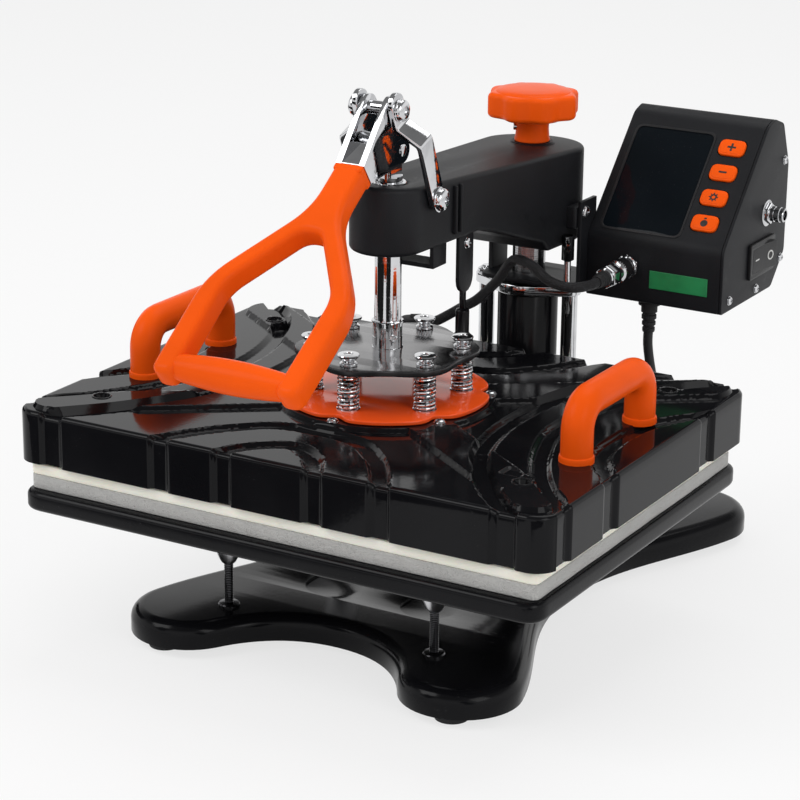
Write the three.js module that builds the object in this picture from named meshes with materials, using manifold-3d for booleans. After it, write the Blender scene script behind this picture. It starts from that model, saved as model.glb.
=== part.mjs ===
import * as THREE from "three";
import { mergeVertices } from "three/addons/utils/BufferGeometryUtils.js";
import Module from "manifold-3d";

const wasm = await Module();
wasm.setup();

// Clearances, overruns and facets
const SEAT_GAP = 0.3;
const RUN_GAP = 0.4;
const OVERRUN = 4;
const WELD = 0.0001;
const ROUND = 24;
const FINE = 16;
const COARSE = 10;
const HALF_TURN = Math.PI;
const QUARTER_TURN = Math.PI / 2;

// Work pad and lower board
const PAD_WIDTH = 380;
const PAD_DEPTH = 290;
const PAD_CORNER = 6;
const FOAM_THICKNESS = 10;
const SHEET_THICKNESS = 8;
const BOARD_LIP = 4;
const BOARD_FRONT_LIP = 7;
const BOARD_THICKNESS = 14;
const BOARD_CORNER = 16;
const BOARD_EDGE = 4;
const BOARD_HEIGHT = 97.5;

// Levelling studs under the board
const STUD_X = 80;
const STUD_Y = 73;
const STUD_RADIUS = 4;
const STUD_NUT_TOP_RADIUS = 13;
const STUD_NUT_LOW_RADIUS = 6.5;
const STUD_NUT_LENGTH = 34;

// Feet and cast base
const FOOT_X = 111;
const FOOT_FRONT_Y = -104;
const FOOT_REAR_Y = 298;
const FOOT_RADIUS = 13;
const FOOT_TAPER = 1.5;
const FOOT_HEIGHT = 7;
const BASE_HEIGHT = 18;
const BASE_EDGE = 9;
const BASE_WALL = 6;
const LOBE_RADIUS = 35;
const LOBE_INSET_X = 8;
const LOBE_INSET_Y = 19;
const WAIST_SIDE = 93;
const WAIST_FRONT = 43;
const FOOT_BOSS_WALL = 3;
const CHANNEL_X = 38;
const CHANNEL_HALF = 20;
const CHANNEL_FRONT_Y = -5;
const CHANNEL_REAR_Y = 140;
const CHANNEL_DEPTH = 2;

// Column, tie rods and swing post
const COLUMN_Y = 203;
const COLUMN_RADIUS = 22;
const COLUMN_HEIGHT = 170;
const COLUMN_FOOT_RADIUS = 30;
const COLUMN_FOOT_HEIGHT = 8;
const POST_RADIUS = 12;
const POST_SOCKET_DEPTH = 130;
const HEAD_HALF_LENGTH = 42;
const HEAD_HALF_WIDTH = 26;
const HEAD_THICKNESS = 8;
const TIE_X = 34;
const TIE_RADIUS = 5.8;
const TIE_NUT_RADIUS = 7;
const TIE_NUT_HEIGHT = 2.2;

// Arm casting
const ARM_FRONT_RADIUS = 26;
const ARM_REAR_RADIUS = 37.5;
const BOSS_HEIGHT = 45;
const ARM_TOP_SLOPE_SHARE = -0.059;
const HAUNCH_DROP = 35;
const ARM_EDGE = 5;
const HAUNCH_FRONT_REACH = 131;
const HAUNCH_KNEE_REACH = 113;
const HAUNCH_KNEE_DROP = 5;
const HAUNCH_REAR_REACH = 46;
const HAUNCH_REAR_RISE = 8;
const ARM_RIB_Y = 36;
const ARM_RIB_WIDTH = 2.5;
const ARM_RIB_SPACING = 7;
const ARM_RIB_HEIGHT = 1.4;
const ARM_RIB_LENGTH = 30;
const KNOB_SEAT_RADIUS = 15;
const KNOB_SEAT_RISE = 1.477;
const ROOM_LID = 8;
const ROOM_HEIGHT = 14;
const ARM_LUG_X = 44.4;
const ARM_LUG_OFFSET = 5;
const ARM_LUG_LENGTH = 20;
const ARM_LUG_RISE = 12.5;
const ARM_LUG_HEIGHT = 16;
const BUSH_WALL = 2.2;
const BUSH_INSET = 1.5;

// Brackets under the arm
const LOOP_Y = 27;
const LOOP_DEPTH = 18;
const LOOP_HALF_WIDTH = 19;
const LOOP_DROP = 18;
const SHEET_METAL = 3;
const STOP_X = 22;
const STOP_Y = 52;
const STOP_WIDTH = 20;
const STOP_DROP = 41;
const PLATE_CLEARANCE = 0.5;
const HANGER_LENGTH = 29.5;
const PLATE_LEFT_X = -27;
const PLATE_FRONT_REACH = 27;
const PLATE_REAR_REACH = 25;
const PLATE_CORNER = 8;
const HANGER_HALF = 12;
const BOX_LEG_FRONT_REACH = 21;
const BOX_LEG_REAR_REACH = 19;
const BOX_LEG_RISE = 32.5;
const SWING_STOP_INSET = 2.4;
const SWING_STOP_REACH = 21.5;
const SWING_STOP_RADIUS = 2.5;
const SWING_STOP_LENGTH = 18;
const SWING_NUT_RADIUS = 4.6;
const SWING_NUT_LENGTH = 18;

// Press shaft and pressure disc
const SHAFT_RADIUS = 9;
const TONGUE_HALF = 5.7;
const TONGUE_LENGTH = 17.6;
const TONGUE_ROUND = 9;
const DISC_RADIUS = 58.5;
const DISC_LOBE = 3.2;
const DISC_THICKNESS = 4;
const SPRING_ROOM = 25.7;
const BOLT_COUNT = 6;
const BOLT_CIRCLE = 50;
const BOLT_START = Math.PI / 6;
const BOLT_RADIUS = 3.4;
const BOLT_HEAD_RADIUS = 7.3;
const BOLT_SLEEVE_RADIUS = 5;
const BOLT_SLEEVE_HEIGHT = 1.2;
const BOLT_CONE_HEIGHT = 1.8;
const BOLT_RIM_HEIGHT = 1.1;
const BOLT_CROWN_HEIGHT = 0.5;

// Springs
const SPRING_RADIUS = 6.5;
const SPRING_WIRE_RADIUS = 0.9;
const SPRING_CURLS = 6.5;
const CURL_STEPS = 8;
const CURL_SIDES = 5;

// Toggle linkage, measured in the plane of the arm
const ANCHOR_Y = 12.2;
const ANCHOR_DROP = 10.3;
const LINK_LENGTH = 67;
const LINK_LEAN = THREE.MathUtils.degToRad(112.6);
const CRANK_LENGTH = 32.4;
const LINK_THICKNESS = 4;
const LINK_HALF_WIDTH = 7.5;
const LINK_LOW_X = 27.2;
const LINK_HIGH_X = 11.4;
const LINK_BEND_RUN = 12;
const LINK_HIGH_RUN = 10;
const LINK_SLOT_LENGTH = 4.4;
const LINK_SLOT_HALF = 5.2;
const LINK_BOLT_RADIUS = 3.5;
const LINK_BOLT_HEAD_RADIUS = 7.5;
const LINK_BOLT_HEAD_HEIGHT = 4;
const LINK_BOLT_DEPTH = 9;
const CHEEK_INNER_X = 6.5;
const CHEEK_THICKNESS = 4;
const CHEEK_ROUND = 8.5;
const UPPER_PIN_RADIUS = 3;
const UPPER_SPACER_RADIUS = 4.6;
const UPPER_HEAD_RADIUS = 7.2;
const UPPER_HEAD_HEIGHT = 4;
const LOWER_PIN_RADIUS = 4;
const LOWER_HEAD_HEIGHT = 0.6;

// Lever handle, measured along its own plane
const LEVER_LEAN = THREE.MathUtils.degToRad(35.2);
const LEVER_RISE = 24.0765;
const WEB_START = 33;
const WEB_HALF_HEIGHT = 8;
const TANG_HALF_WIDTH = 6;
const TANG_HALF_HEIGHT = 4.5;
const TANG_LENGTH = 34;
const NECK_START = 55;
const NECK_HALF_WIDTH = 10.5;
const NECK_END = 94;
const SHOULDER_HALF_WIDTH = 54;
const SHOULDER_END = 160;
const GRIP_HALF_WIDTH = 53;
const GRIP_END = 236;
const LEVER_THICKNESS = 18;
const LEVER_EDGE = 4;
const LEG_WIDTH = 15;
const LOOP_TOP_HALF = 7;
const LOOP_TOP = 112;
const GRIP_WIDTH = 19;
const GRIP_RADIUS = 9.2;
const GRIP_BULGE = 1.8;

// Heated platen and its cover
const COVER_SIDE_MARGIN = 9;
const COVER_END_MARGIN = 5;
const COVER_CORNER = 16;
const RIM_CLEARANCE = 1.5;
const COVER_HEIGHT = 36;
const COVER_RIDGE = 3;
const COVER_SIDE_WALL = 7.5;
const COVER_ROOF = 7;
const GROOVE_DEPTH = 3;
const GROOVE_FRONT_X = [34.5, 84];
const GROOVE_SIDE_Y = [69, 82];
const GROOVE_WIDTH = 15;
const PLATEN_THICKNESS = 14;
const PLATEN_INSET = 1;
const INSULATION_THICKNESS = 15.6;
const INSULATION_INSET = 3;
const CENTRE_PAD_RADIUS = 74;
const STRIP_HALF_WIDTH = 17;
const STRIP_END_INSET = 22;
const STRIP_HOLE_RADIUS = 5;
const STRIP_HOLE_SIDE_INSET = 41;
const STRIP_HOLE_END_INSET = 44;
const STRIP_HOLE_DEPTH = 4;
const CHANNEL_GROOVE_HALF = 6;
const CHANNEL_GROOVE_DEPTH = 3;
const RING_RADIUS = 69;
const RING_THICKNESS = 3;
const NOTCH_RADIUS = 7;
const NOTCH_CIRCLE = 70;
const CLIP_X = -20;
const CLIP_INSET = 10;
const CLIP_RADIUS = 5;
const CLIP_HEIGHT = 22;
const CLIP_PIN_RADIUS = 2.4;
const CLIP_PIN_HEIGHT = 14;

// Side handles
const HANDLE_INSET = 34;
const HANDLE_HALF_SPAN = 46;
const HANDLE_HEIGHT = 44;
const HANDLE_RADIUS = 10.5;
const HANDLE_BEND = 17;
const HANDLE_FOOT_RADIUS = 12;
const HANDLE_FOOT_HEIGHT = 5;

// Control box
const BOX_WIDTH = 105.5;
const BOX_FRONT_REACH = 2;
const BOX_DROP = 8;
const SLOPE_START_RISE = 46;
const SLOPE_RUN = 71;
const SLOPE_RISE = 76;
const ROOF_RUN = 12;
const ROOF_RISE = 3.5;
const BACK_BEND_RUN = 28;
const BACK_BEND_FALL = 2;
const BACK_RUN = 41;
const BACK_FALL = 33;
const BACK_LOW_RISE = 23;
const CHAMFER_RUN = 22;
const BOX_WALL = 2.4;
const LENS_INSET = 7;
const LENS_WIDTH = 62;
const LENS_START = 6;
const LENS_END = 93;
const LENS_CORNER = 6;
const LENS_THICKNESS = 1.6;
const KEY_REACH = 84;
const KEY_START = 20.3;
const KEY_PITCH = 20.9;
const KEY_WIDTH = 20;
const KEY_LENGTH = 13;
const KEY_CORNER = 5;
const KEY_PROUD = 1.6;
const KEY_TRAVEL = 1.2;
const KEY_FLANGE = 1.5;
const KEY_NAMES = ["button_timer", "button_set", "button_minus", "button_plus"];
const ROCKER_REACH = 66;
const ROCKER_HEIGHT_ABOVE = 28;
const ROCKER_LENGTH = 44;
const ROCKER_HEIGHT = 26;
const ROCKER_FRAME_WALL = 3;
const ROCKER_FRAME_PROUD = 2;
const ROCKER_DEPTH = 9;
const ROCKER_TILT = THREE.MathUtils.degToRad(7);
const ROCKER_RISE = 3.2;
const ROCKER_SIDE_GAP = 1.4;
const SOCKET_REACH = 75;
const SOCKET_HEIGHT_ABOVE = 58.5;
const SOCKET_RADIUS = 5;
const SOCKET_LENGTH = 14;
const SOCKET_NUT_RADIUS = 8;
const SOCKET_NUT_HEIGHT = 3.5;
const BOARD_PCB_MARGIN = 12;
const PCB_THICKNESS = 1.6;
const PCB_STANDOFF = 8;
const PCB_STANDOFF_RADIUS = 3;

// Head connector and head cable
const PLUG_REACH = 33;
const PLUG_HEIGHT_ABOVE = 26;
const PLUG_FLANGE_RADIUS = 9;
const PLUG_FLANGE_LENGTH = 4;
const PLUG_BARREL_RADIUS = 7.6;
const PLUG_BARREL_LENGTH = 22;
const PLUG_NUT_RADIUS = 8.6;
const PLUG_NUT_LENGTH = 12;
const PLUG_BOOT_RADIUS = 5.6;
const PLUG_BOOT_LENGTH = 14;
const HEAD_CABLE_RADIUS = 3.6;
const CABLE_GLAND_X = -58;
const CABLE_GLAND_INSET = 18;
const CABLE_GLAND_RADIUS = 7.5;
const CABLE_GLAND_HEIGHT = 14.5;
const CABLE_SNOUT_RADIUS = 5.4;
const CABLE_SNOUT_TIP_RADIUS = 4.6;
const CABLE_SNOUT_LENGTH = 12;
const CABLE_SNOUT_RISE = 11;
const CABLE_SNOUT_HEADING = THREE.MathUtils.degToRad(33.3);

// Mains cord
const GLAND_REACH = 44;
const GLAND_DEPTH = 14;
const GLAND_RADIUS = 6;
const GLAND_FLANGE_RADIUS = 8;
const GLAND_FLANGE_HEIGHT = 4;
const GLAND_LENGTH = 20;
const GLAND_TIP_RADIUS = 4.6;
const CORD_RADIUS = 3.5;
const COIL_X = -20;
const COIL_Y = 372;
const COIL_RADIUS = 38;
const COIL_PITCH = 7.7;
const COIL_TURNS = 5.25;
const COIL_STEPS = 24;
const COIL_SIDES = 6;
const COIL_TAIL = 32;
const MAINS_BODY_LENGTH = 34;
const MAINS_BODY_WIDTH = 26;
const MAINS_BODY_CORNER = 5;
const MAINS_BOOT_LENGTH = 12;
const MAINS_PIN_LENGTH = 18;
const MAINS_PIN_RADIUS = 2.3;
const MAINS_PIN_SPACING = 9.5;

// Pressure knob
const KNOB_RADIUS = 31.6;
const KNOB_LOBE = 1.9;
const KNOB_LOBES = 8;
const KNOB_HEIGHT = 18;
const KNOB_EDGE = 4;
const KNOB_NECK_HEIGHT = 18;
const KNOB_NECK_RADIUS = 12;
const SCREW_RADIUS = 4;
const SCREW_CLEARANCE = 2;
const SCREW_REACH = 11;
const NUT_CLEARANCE = 3.5;
const PRESSURE_NUT_HEIGHT = 8;

// Heights and places that follow from the sizes above
const BASE_BOTTOM = FOOT_HEIGHT;
const BASE_TOP = BASE_BOTTOM + BASE_HEIGHT;
const BASE_CENTRE_Y = (FOOT_FRONT_Y + FOOT_REAR_Y) / 2;
const BOARD_TOP = BOARD_HEIGHT + BOARD_THICKNESS;
const FOAM_TOP = BOARD_TOP + FOAM_THICKNESS;
const SHEET_TOP = FOAM_TOP + SHEET_THICKNESS;
const COLUMN_TOP = BASE_TOP + COLUMN_HEIGHT;
const HEAD_BOTTOM = COLUMN_TOP + SEAT_GAP;
const HEAD_TOP = HEAD_BOTTOM + HEAD_THICKNESS;
const POST_BORE = POST_RADIUS + SEAT_GAP;
const POST_BOTTOM = COLUMN_TOP - POST_SOCKET_DEPTH;
const PLATE_HEIGHT = HEAD_TOP + TIE_NUT_HEIGHT + PLATE_CLEARANCE;
const ARM_REAR_BOTTOM = PLATE_HEIGHT + HANGER_LENGTH;
const ARM_FRONT_BOTTOM = ARM_REAR_BOTTOM + HAUNCH_DROP;
const ARM_FRONT_TOP = ARM_FRONT_BOTTOM + BOSS_HEIGHT;
const KNOB_SEAT_HEIGHT = ARM_FRONT_TOP + ARM_TOP_SLOPE_SHARE * COLUMN_Y + KNOB_SEAT_RISE;
const PRESSURE_ROOM_TOP = KNOB_SEAT_HEIGHT - ROOM_LID;
const POST_TOP = PRESSURE_ROOM_TOP - ROOM_HEIGHT;
const KNOB_BOTTOM = KNOB_SEAT_HEIGHT + KNOB_NECK_HEIGHT;
const SCREW_TOP = KNOB_SEAT_HEIGHT + SCREW_REACH;
const SCREW_BOTTOM = POST_TOP + SCREW_CLEARANCE;
const PRESSURE_NUT_BOTTOM = POST_TOP + NUT_CLEARANCE;
const ARM_LUG_Y = COLUMN_Y - ARM_LUG_OFFSET;
const ARM_LUG_BOTTOM = ARM_REAR_BOTTOM + ARM_LUG_RISE;
const HAUNCH_FRONT_Y = COLUMN_Y - HAUNCH_FRONT_REACH;
const HAUNCH_KNEE_Y = COLUMN_Y - HAUNCH_KNEE_REACH;
const HAUNCH_REAR_Y = COLUMN_Y - HAUNCH_REAR_REACH;
const PLATE_FRONT_Y = COLUMN_Y - PLATE_FRONT_REACH;
const PLATE_REAR_Y = COLUMN_Y + PLATE_REAR_REACH;
const HANGER_FRONT_Y = COLUMN_Y - HANGER_HALF;
const HANGER_REAR_Y = COLUMN_Y + HANGER_HALF;
const BOX_LEG_FRONT_Y = COLUMN_Y - BOX_LEG_FRONT_REACH;
const BOX_LEG_REAR_Y = COLUMN_Y + BOX_LEG_REAR_REACH;
const BOX_LEG_TOP = ARM_REAR_BOTTOM + BOX_LEG_RISE;
const SWING_STOP_X = ARM_LUG_X - SWING_STOP_INSET;
const SWING_STOP_Y = COLUMN_Y - SWING_STOP_REACH;
const COVER_WIDTH = PAD_WIDTH + 2 * COVER_SIDE_MARGIN;
const COVER_DEPTH = PAD_DEPTH + 2 * COVER_END_MARGIN;
const COVER_RIM = SHEET_TOP + RIM_CLEARANCE;
const COVER_DECK = COVER_RIM + COVER_HEIGHT;
const COVER_TOP = COVER_DECK + COVER_RIDGE;
const STRIP_HOLE_X = COVER_WIDTH / 2 - STRIP_HOLE_SIDE_INSET;
const STRIP_HOLE_Y = COVER_DEPTH / 2 - STRIP_HOLE_END_INSET;
const CLIP_Y = COVER_DEPTH / 2 - CLIP_INSET;
const HANDLE_X = COVER_WIDTH / 2 - HANDLE_INSET;
const RING_BOTTOM = COVER_TOP + SEAT_GAP;
const RING_TOP = RING_BOTTOM + RING_THICKNESS;
const DISC_BOTTOM = RING_TOP + SPRING_ROOM;
const DISC_TOP = DISC_BOTTOM + DISC_THICKNESS;
const PLATEN_BOTTOM = SHEET_TOP + SEAT_GAP;
const PLATEN_TOP = PLATEN_BOTTOM + PLATEN_THICKNESS;
const ANCHOR_Z = ARM_FRONT_TOP - ANCHOR_DROP;
const JOINT_Y = ANCHOR_Y + LINK_LENGTH * Math.cos(LINK_LEAN);
const JOINT_Z = ANCHOR_Z + LINK_LENGTH * Math.sin(LINK_LEAN);
const CRANK_Z = JOINT_Z - Math.sqrt(CRANK_LENGTH * CRANK_LENGTH - JOINT_Y * JOINT_Y);
const TONGUE_BOTTOM = CRANK_Z - TONGUE_LENGTH;
const LEVER_PLANE_Z = CRANK_Z + LEVER_RISE;
const CHEEK_OUTER_X = CHEEK_INNER_X + CHEEK_THICKNESS;
const LINK_BEND_END = LINK_LENGTH - LINK_HIGH_RUN;
const LINK_BEND_START = LINK_BEND_END - LINK_BEND_RUN;
const BOX_LEFT = ARM_LUG_X + SHEET_METAL + 2 * SEAT_GAP;
const BOX_RIGHT = BOX_LEFT + BOX_WIDTH;
const BOX_FRONT_Y = COLUMN_Y - BOX_FRONT_REACH;
const BOX_BOTTOM = PLATE_HEIGHT - BOX_DROP;
const BOX_SLOPE_BOTTOM = BOX_BOTTOM + SLOPE_START_RISE;
const BOX_SLOPE_TOP_Y = BOX_FRONT_Y + SLOPE_RUN;
const BOX_SLOPE_TOP = BOX_SLOPE_BOTTOM + SLOPE_RISE;
const BOX_ROOF_Y = BOX_SLOPE_TOP_Y + ROOF_RUN;
const BOX_ROOF = BOX_SLOPE_TOP + ROOF_RISE;
const BOX_BACK_BEND_Y = BOX_SLOPE_TOP_Y + BACK_BEND_RUN;
const BOX_BACK_BEND = BOX_SLOPE_TOP - BACK_BEND_FALL;
const BOX_BACK_Y = BOX_SLOPE_TOP_Y + BACK_RUN;
const BOX_BACK_TOP = BOX_SLOPE_TOP - BACK_FALL;
const BOX_BACK_LOW = BOX_BOTTOM + BACK_LOW_RISE;
const BOX_CHAMFER_Y = BOX_BACK_Y - CHAMFER_RUN;
const LENS_LEFT = BOX_LEFT + LENS_INSET;
const LENS_RIGHT = LENS_LEFT + LENS_WIDTH;
const KEY_X = BOX_LEFT + KEY_REACH;
const ROCKER_Y = BOX_FRONT_Y + ROCKER_REACH;
const ROCKER_Z = BOX_BOTTOM + ROCKER_HEIGHT_ABOVE;
const SOCKET_Y = BOX_FRONT_Y + SOCKET_REACH;
const SOCKET_Z = BOX_BOTTOM + SOCKET_HEIGHT_ABOVE;
const PLUG_X = BOX_LEFT + PLUG_REACH;
const PLUG_Z = BOX_BOTTOM + PLUG_HEIGHT_ABOVE;
const GLAND_X = BOX_LEFT + GLAND_REACH;
const GLAND_Y = BOX_FRONT_Y + GLAND_DEPTH;
const CABLE_GLAND_Y = COVER_DEPTH / 2 - CABLE_GLAND_INSET;
const CABLE_SNOUT_Z = COVER_DECK + CABLE_SNOUT_RISE;
const SLOPE_ANGLE = Math.atan2(SLOPE_RISE, SLOPE_RUN);
const GRIP_CENTRE = GRIP_END - GRIP_WIDTH / 2;

// Turning geometry into solids and back
function solidOf(geometry) {
  const plain = geometry.clone();
  plain.deleteAttribute("normal");
  plain.deleteAttribute("uv");
  const merged = mergeVertices(plain, WELD);
  const vertProperties = new Float32Array(merged.attributes.position.array);
  const triVerts = new Uint32Array(merged.index.array);
  return new wasm.Manifold(new wasm.Mesh({ numProp: 3, vertProperties, triVerts }));
}

function geometryOf(solid) {
  const mesh = solid.getMesh();
  const geometry = new THREE.BufferGeometry();
  geometry.setAttribute("position", new THREE.BufferAttribute(mesh.vertProperties, 3));
  geometry.setIndex(new THREE.BufferAttribute(mesh.triVerts, 1));
  return geometry;
}

function join(...geometries) {
  return geometries.map(solidOf).reduce((sum, next) => sum.add(next));
}

function cut(solid, ...geometries) {
  return geometries.map(solidOf).reduce((rest, next) => rest.subtract(next), solid);
}

// Straight pieces
function block(x0, x1, y0, y1, z0, z1) {
  const box = new THREE.BoxGeometry(x1 - x0, y1 - y0, z1 - z0);
  return box.translate((x0 + x1) / 2, (y0 + y1) / 2, (z0 + z1) / 2);
}

function pillar(radius, x, y, z0, z1, sides = FINE, topRadius = radius) {
  const drum = new THREE.CylinderGeometry(topRadius, radius, z1 - z0, sides);
  return drum.rotateX(QUARTER_TURN).translate(x, y, (z0 + z1) / 2);
}

function crossPin(radius, x0, x1, y, z, sides = FINE, rightRadius = radius) {
  const drum = new THREE.CylinderGeometry(rightRadius, radius, x1 - x0, sides);
  return drum.rotateZ(-QUARTER_TURN).translate((x0 + x1) / 2, y, z);
}

function lengthPin(radius, y0, y1, x, z, sides = FINE, rearRadius = radius) {
  const drum = new THREE.CylinderGeometry(rearRadius, radius, y1 - y0, sides);
  return drum.translate(x, (y0 + y1) / 2, z);
}

// An outline with rounded corners, each given as x, y and radius
function roundedOutline(corners) {
  const shape = new THREE.Shape();
  corners.forEach(([x, y, radius], index) => {
    const corner = new THREE.Vector2(x, y);
    const [px, py] = corners[(index + corners.length - 1) % corners.length];
    const [nx, ny] = corners[(index + 1) % corners.length];
    const before = new THREE.Vector2(px, py).sub(corner).setLength(radius).add(corner);
    const after = new THREE.Vector2(nx, ny).sub(corner).setLength(radius).add(corner);
    if (index === 0) {
      shape.moveTo(before.x, before.y);
    } else {
      shape.lineTo(before.x, before.y);
    }
    shape.quadraticCurveTo(corner.x, corner.y, after.x, after.y);
  });
  shape.closePath();
  return shape;
}

function rectangle(x0, x1, y0, y1, radius) {
  return roundedOutline([[x0, y0, radius], [x1, y0, radius], [x1, y1, radius], [x0, y1, radius]]);
}

function outlineOf(points) {
  return new THREE.Shape(points.map(([x, y]) => new THREE.Vector2(x, y)));
}

// A waved round outline, with a wave that repeats
function wavedOutline(radius, wave, count, start, steps) {
  const points = [];
  for (let step = 0; step < steps; step += 1) {
    const angle = (2 * HALF_TURN * step) / steps;
    const reach = radius + wave * Math.cos(count * (angle - start));
    points.push([reach * Math.cos(angle), reach * Math.sin(angle)]);
  }
  return outlineOf(points);
}

// A slab between two heights, with both edges rounded when an edge size is given
function slab(shape, z0, z1, edge = 0, edgeSteps = 2, curveSegments = 3) {
  const settings = { depth: z1 - z0 - 2 * edge, curveSegments, bevelEnabled: edge > 0 };
  settings.bevelThickness = edge;
  settings.bevelSize = edge;
  settings.bevelOffset = -edge;
  settings.bevelSegments = edgeSteps;
  return new THREE.ExtrudeGeometry(shape, settings).translate(0, 0, z0 + edge);
}

// A cutter that widens at both faces, so that the edges of its hole come out rounded
function flare(shape, z0, z1, edge) {
  const settings = { depth: z1 - z0 - 2 * edge, curveSegments: 4, bevelEnabled: true };
  settings.bevelThickness = edge;
  settings.bevelSize = -edge;
  settings.bevelOffset = edge;
  settings.bevelSegments = 2;
  return new THREE.ExtrudeGeometry(shape, settings).translate(0, 0, z0 + edge);
}

// A slab drawn in y and z, and thick along x
const SIDEWAYS = new THREE.Matrix4().makeBasis(
  new THREE.Vector3(0, 1, 0),
  new THREE.Vector3(0, 0, 1),
  new THREE.Vector3(1, 0, 0),
);

function sideSlab(shape, x0, x1, edge = 0) {
  return slab(shape, x0, x1, edge).applyMatrix4(SIDEWAYS);
}

function circlePoints(x, y, radius, steps) {
  return Array.from({ length: steps }, (_, step) => {
    const angle = (2 * HALF_TURN * step) / steps;
    return [x + radius * Math.cos(angle), y + radius * Math.sin(angle)];
  });
}

// The hull round a set of points, turning left all the way
function hullOutline(points) {
  const sorted = [...points].sort((a, b) => a[0] - b[0] || a[1] - b[1]);
  const turn = (a, b, c) => (b[0] - a[0]) * (c[1] - a[1]) - (b[1] - a[1]) * (c[0] - a[0]);
  const chain = (list) => {
    const kept = [];
    list.forEach((point) => {
      while (kept.length > 1 && turn(kept[kept.length - 2], kept[kept.length - 1], point) <= 0) {
        kept.pop();
      }
      kept.push(point);
    });
    kept.pop();
    return kept;
  };
  return outlineOf([...chain(sorted), ...chain(sorted.reverse())]);
}

// A bar of round section swept along a smooth route
function sweep(route, radius, sides, steps) {
  const path = new THREE.CatmullRomCurve3(route.map((point) => new THREE.Vector3(...point)));
  const section = outlineOf(circlePoints(0, 0, radius, sides));
  return new THREE.ExtrudeGeometry(section, { steps, bevelEnabled: false, extrudePath: path });
}

// A closed tube through many points, with flat ends square to its ends
function tube(points, radius, sides) {
  const positions = [];
  const index = [];
  const tangents = points.map((point, i) => {
    const before = points[Math.max(i - 1, 0)];
    const after = points[Math.min(i + 1, points.length - 1)];
    return after.clone().sub(before).normalize();
  });
  let normal = new THREE.Vector3(tangents[0].y, tangents[0].z, tangents[0].x);
  points.forEach((point, i) => {
    normal = normal.clone().addScaledVector(tangents[i], -normal.dot(tangents[i])).normalize();
    const side = tangents[i].clone().cross(normal);
    for (let k = 0; k < sides; k += 1) {
      const angle = (2 * HALF_TURN * k) / sides;
      const spot = point.clone().addScaledVector(normal, radius * Math.cos(angle));
      spot.addScaledVector(side, radius * Math.sin(angle));
      positions.push(spot.x, spot.y, spot.z);
    }
  });
  for (let i = 0; i < points.length - 1; i += 1) {
    for (let k = 0; k < sides; k += 1) {
      const here = i * sides + k;
      const next = i * sides + ((k + 1) % sides);
      index.push(here, next, here + sides, next, next + sides, here + sides);
    }
  }
  const last = (points.length - 1) * sides;
  for (let k = 1; k < sides - 1; k += 1) {
    index.push(0, k + 1, k);
    index.push(last, last + k, last + k + 1);
  }
  const geometry = new THREE.BufferGeometry();
  geometry.setAttribute("position", new THREE.Float32BufferAttribute(positions, 3));
  geometry.setIndex(index);
  return geometry;
}

// The least gap of a wound tube to itself, between points over half a turn apart
function leastSelfGap(points, radius, halfTurnSteps) {
  let least = Infinity;
  points.forEach((point, i) => {
    for (let j = i + halfTurnSteps; j < points.length; j += 1) {
      least = Math.min(least, point.distanceTo(points[j]));
    }
  });
  return least - 2 * radius;
}

// Frames of the tilted pieces
const ACROSS = new THREE.Vector3(1, 0, 0);
const LEVER_ALONG = new THREE.Vector3(0, -Math.cos(LEVER_LEAN), -Math.sin(LEVER_LEAN));
const LEVER_NORMAL = ACROSS.clone().cross(LEVER_ALONG);
const LEVER_ORIGIN = new THREE.Vector3(0, 0, LEVER_PLANE_Z);
const LEVER_FRAME = new THREE.Matrix4().makeBasis(ACROSS, LEVER_ALONG, LEVER_NORMAL);
LEVER_FRAME.setPosition(LEVER_ORIGIN);
const LINK_ALONG = new THREE.Vector3(0, Math.cos(LINK_LEAN), Math.sin(LINK_LEAN));
const LINK_NORMAL = ACROSS.clone().cross(LINK_ALONG);
const LINK_ORIGIN = new THREE.Vector3(0, ANCHOR_Y, ANCHOR_Z);
const LINK_FRAME = new THREE.Matrix4().makeBasis(ACROSS, LINK_ALONG, LINK_NORMAL);
LINK_FRAME.setPosition(LINK_ORIGIN);
const LINK_SIDE_FRAME = new THREE.Matrix4().makeBasis(LINK_ALONG, LINK_NORMAL, ACROSS);
LINK_SIDE_FRAME.setPosition(LINK_ORIGIN);
const SLOPE_ALONG = new THREE.Vector3(0, Math.cos(SLOPE_ANGLE), Math.sin(SLOPE_ANGLE));
const SLOPE_FRAME = new THREE.Matrix4().makeBasis(ACROSS, SLOPE_ALONG, ACROSS.clone().cross(SLOPE_ALONG));
SLOPE_FRAME.setPosition(new THREE.Vector3(0, BOX_FRONT_Y, BOX_SLOPE_BOTTOM));

// Materials
function finish(color, roughness, metalness) {
  return new THREE.MeshStandardMaterial({ color, roughness, metalness });
}

const GLOSS_BLACK = finish(0x0b0c0e, 0.12, 0);
const SATIN_BLACK = finish(0x15171b, 0.5, 0);
const RUBBER = finish(0x17181a, 0.85, 0);
const ORANGE = finish(0xfa5f23, 0.35, 0);
const CHROME = finish(0xc9ccd0, 0.12, 1);
const STEEL = finish(0x8f9398, 0.35, 1);
const BRONZE = finish(0x9a6d3a, 0.4, 1);
const CREAM = finish(0xe4e4d4, 0.75, 0);
const GREY_FOAM = finish(0x97999b, 0.9, 0);
const ALUMINIUM = finish(0xb9bcc0, 0.4, 1);
const BOARD_FIBRE = finish(0xb7b09a, 0.9, 0);
const SCREEN = finish(0x07090d, 0.08, 0);
const CIRCUIT = finish(0x1d5a36, 0.6, 0);
const CORD_BLACK = finish(0x121314, 0.6, 0);

const press = new THREE.Group();
press.name = "combo_heat_press";

function place(name, shape, material) {
  const geometry = shape.isBufferGeometry ? shape : geometryOf(shape);
  const mesh = new THREE.Mesh(geometry, material);
  mesh.name = name;
  press.add(mesh);
  return mesh;
}

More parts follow.
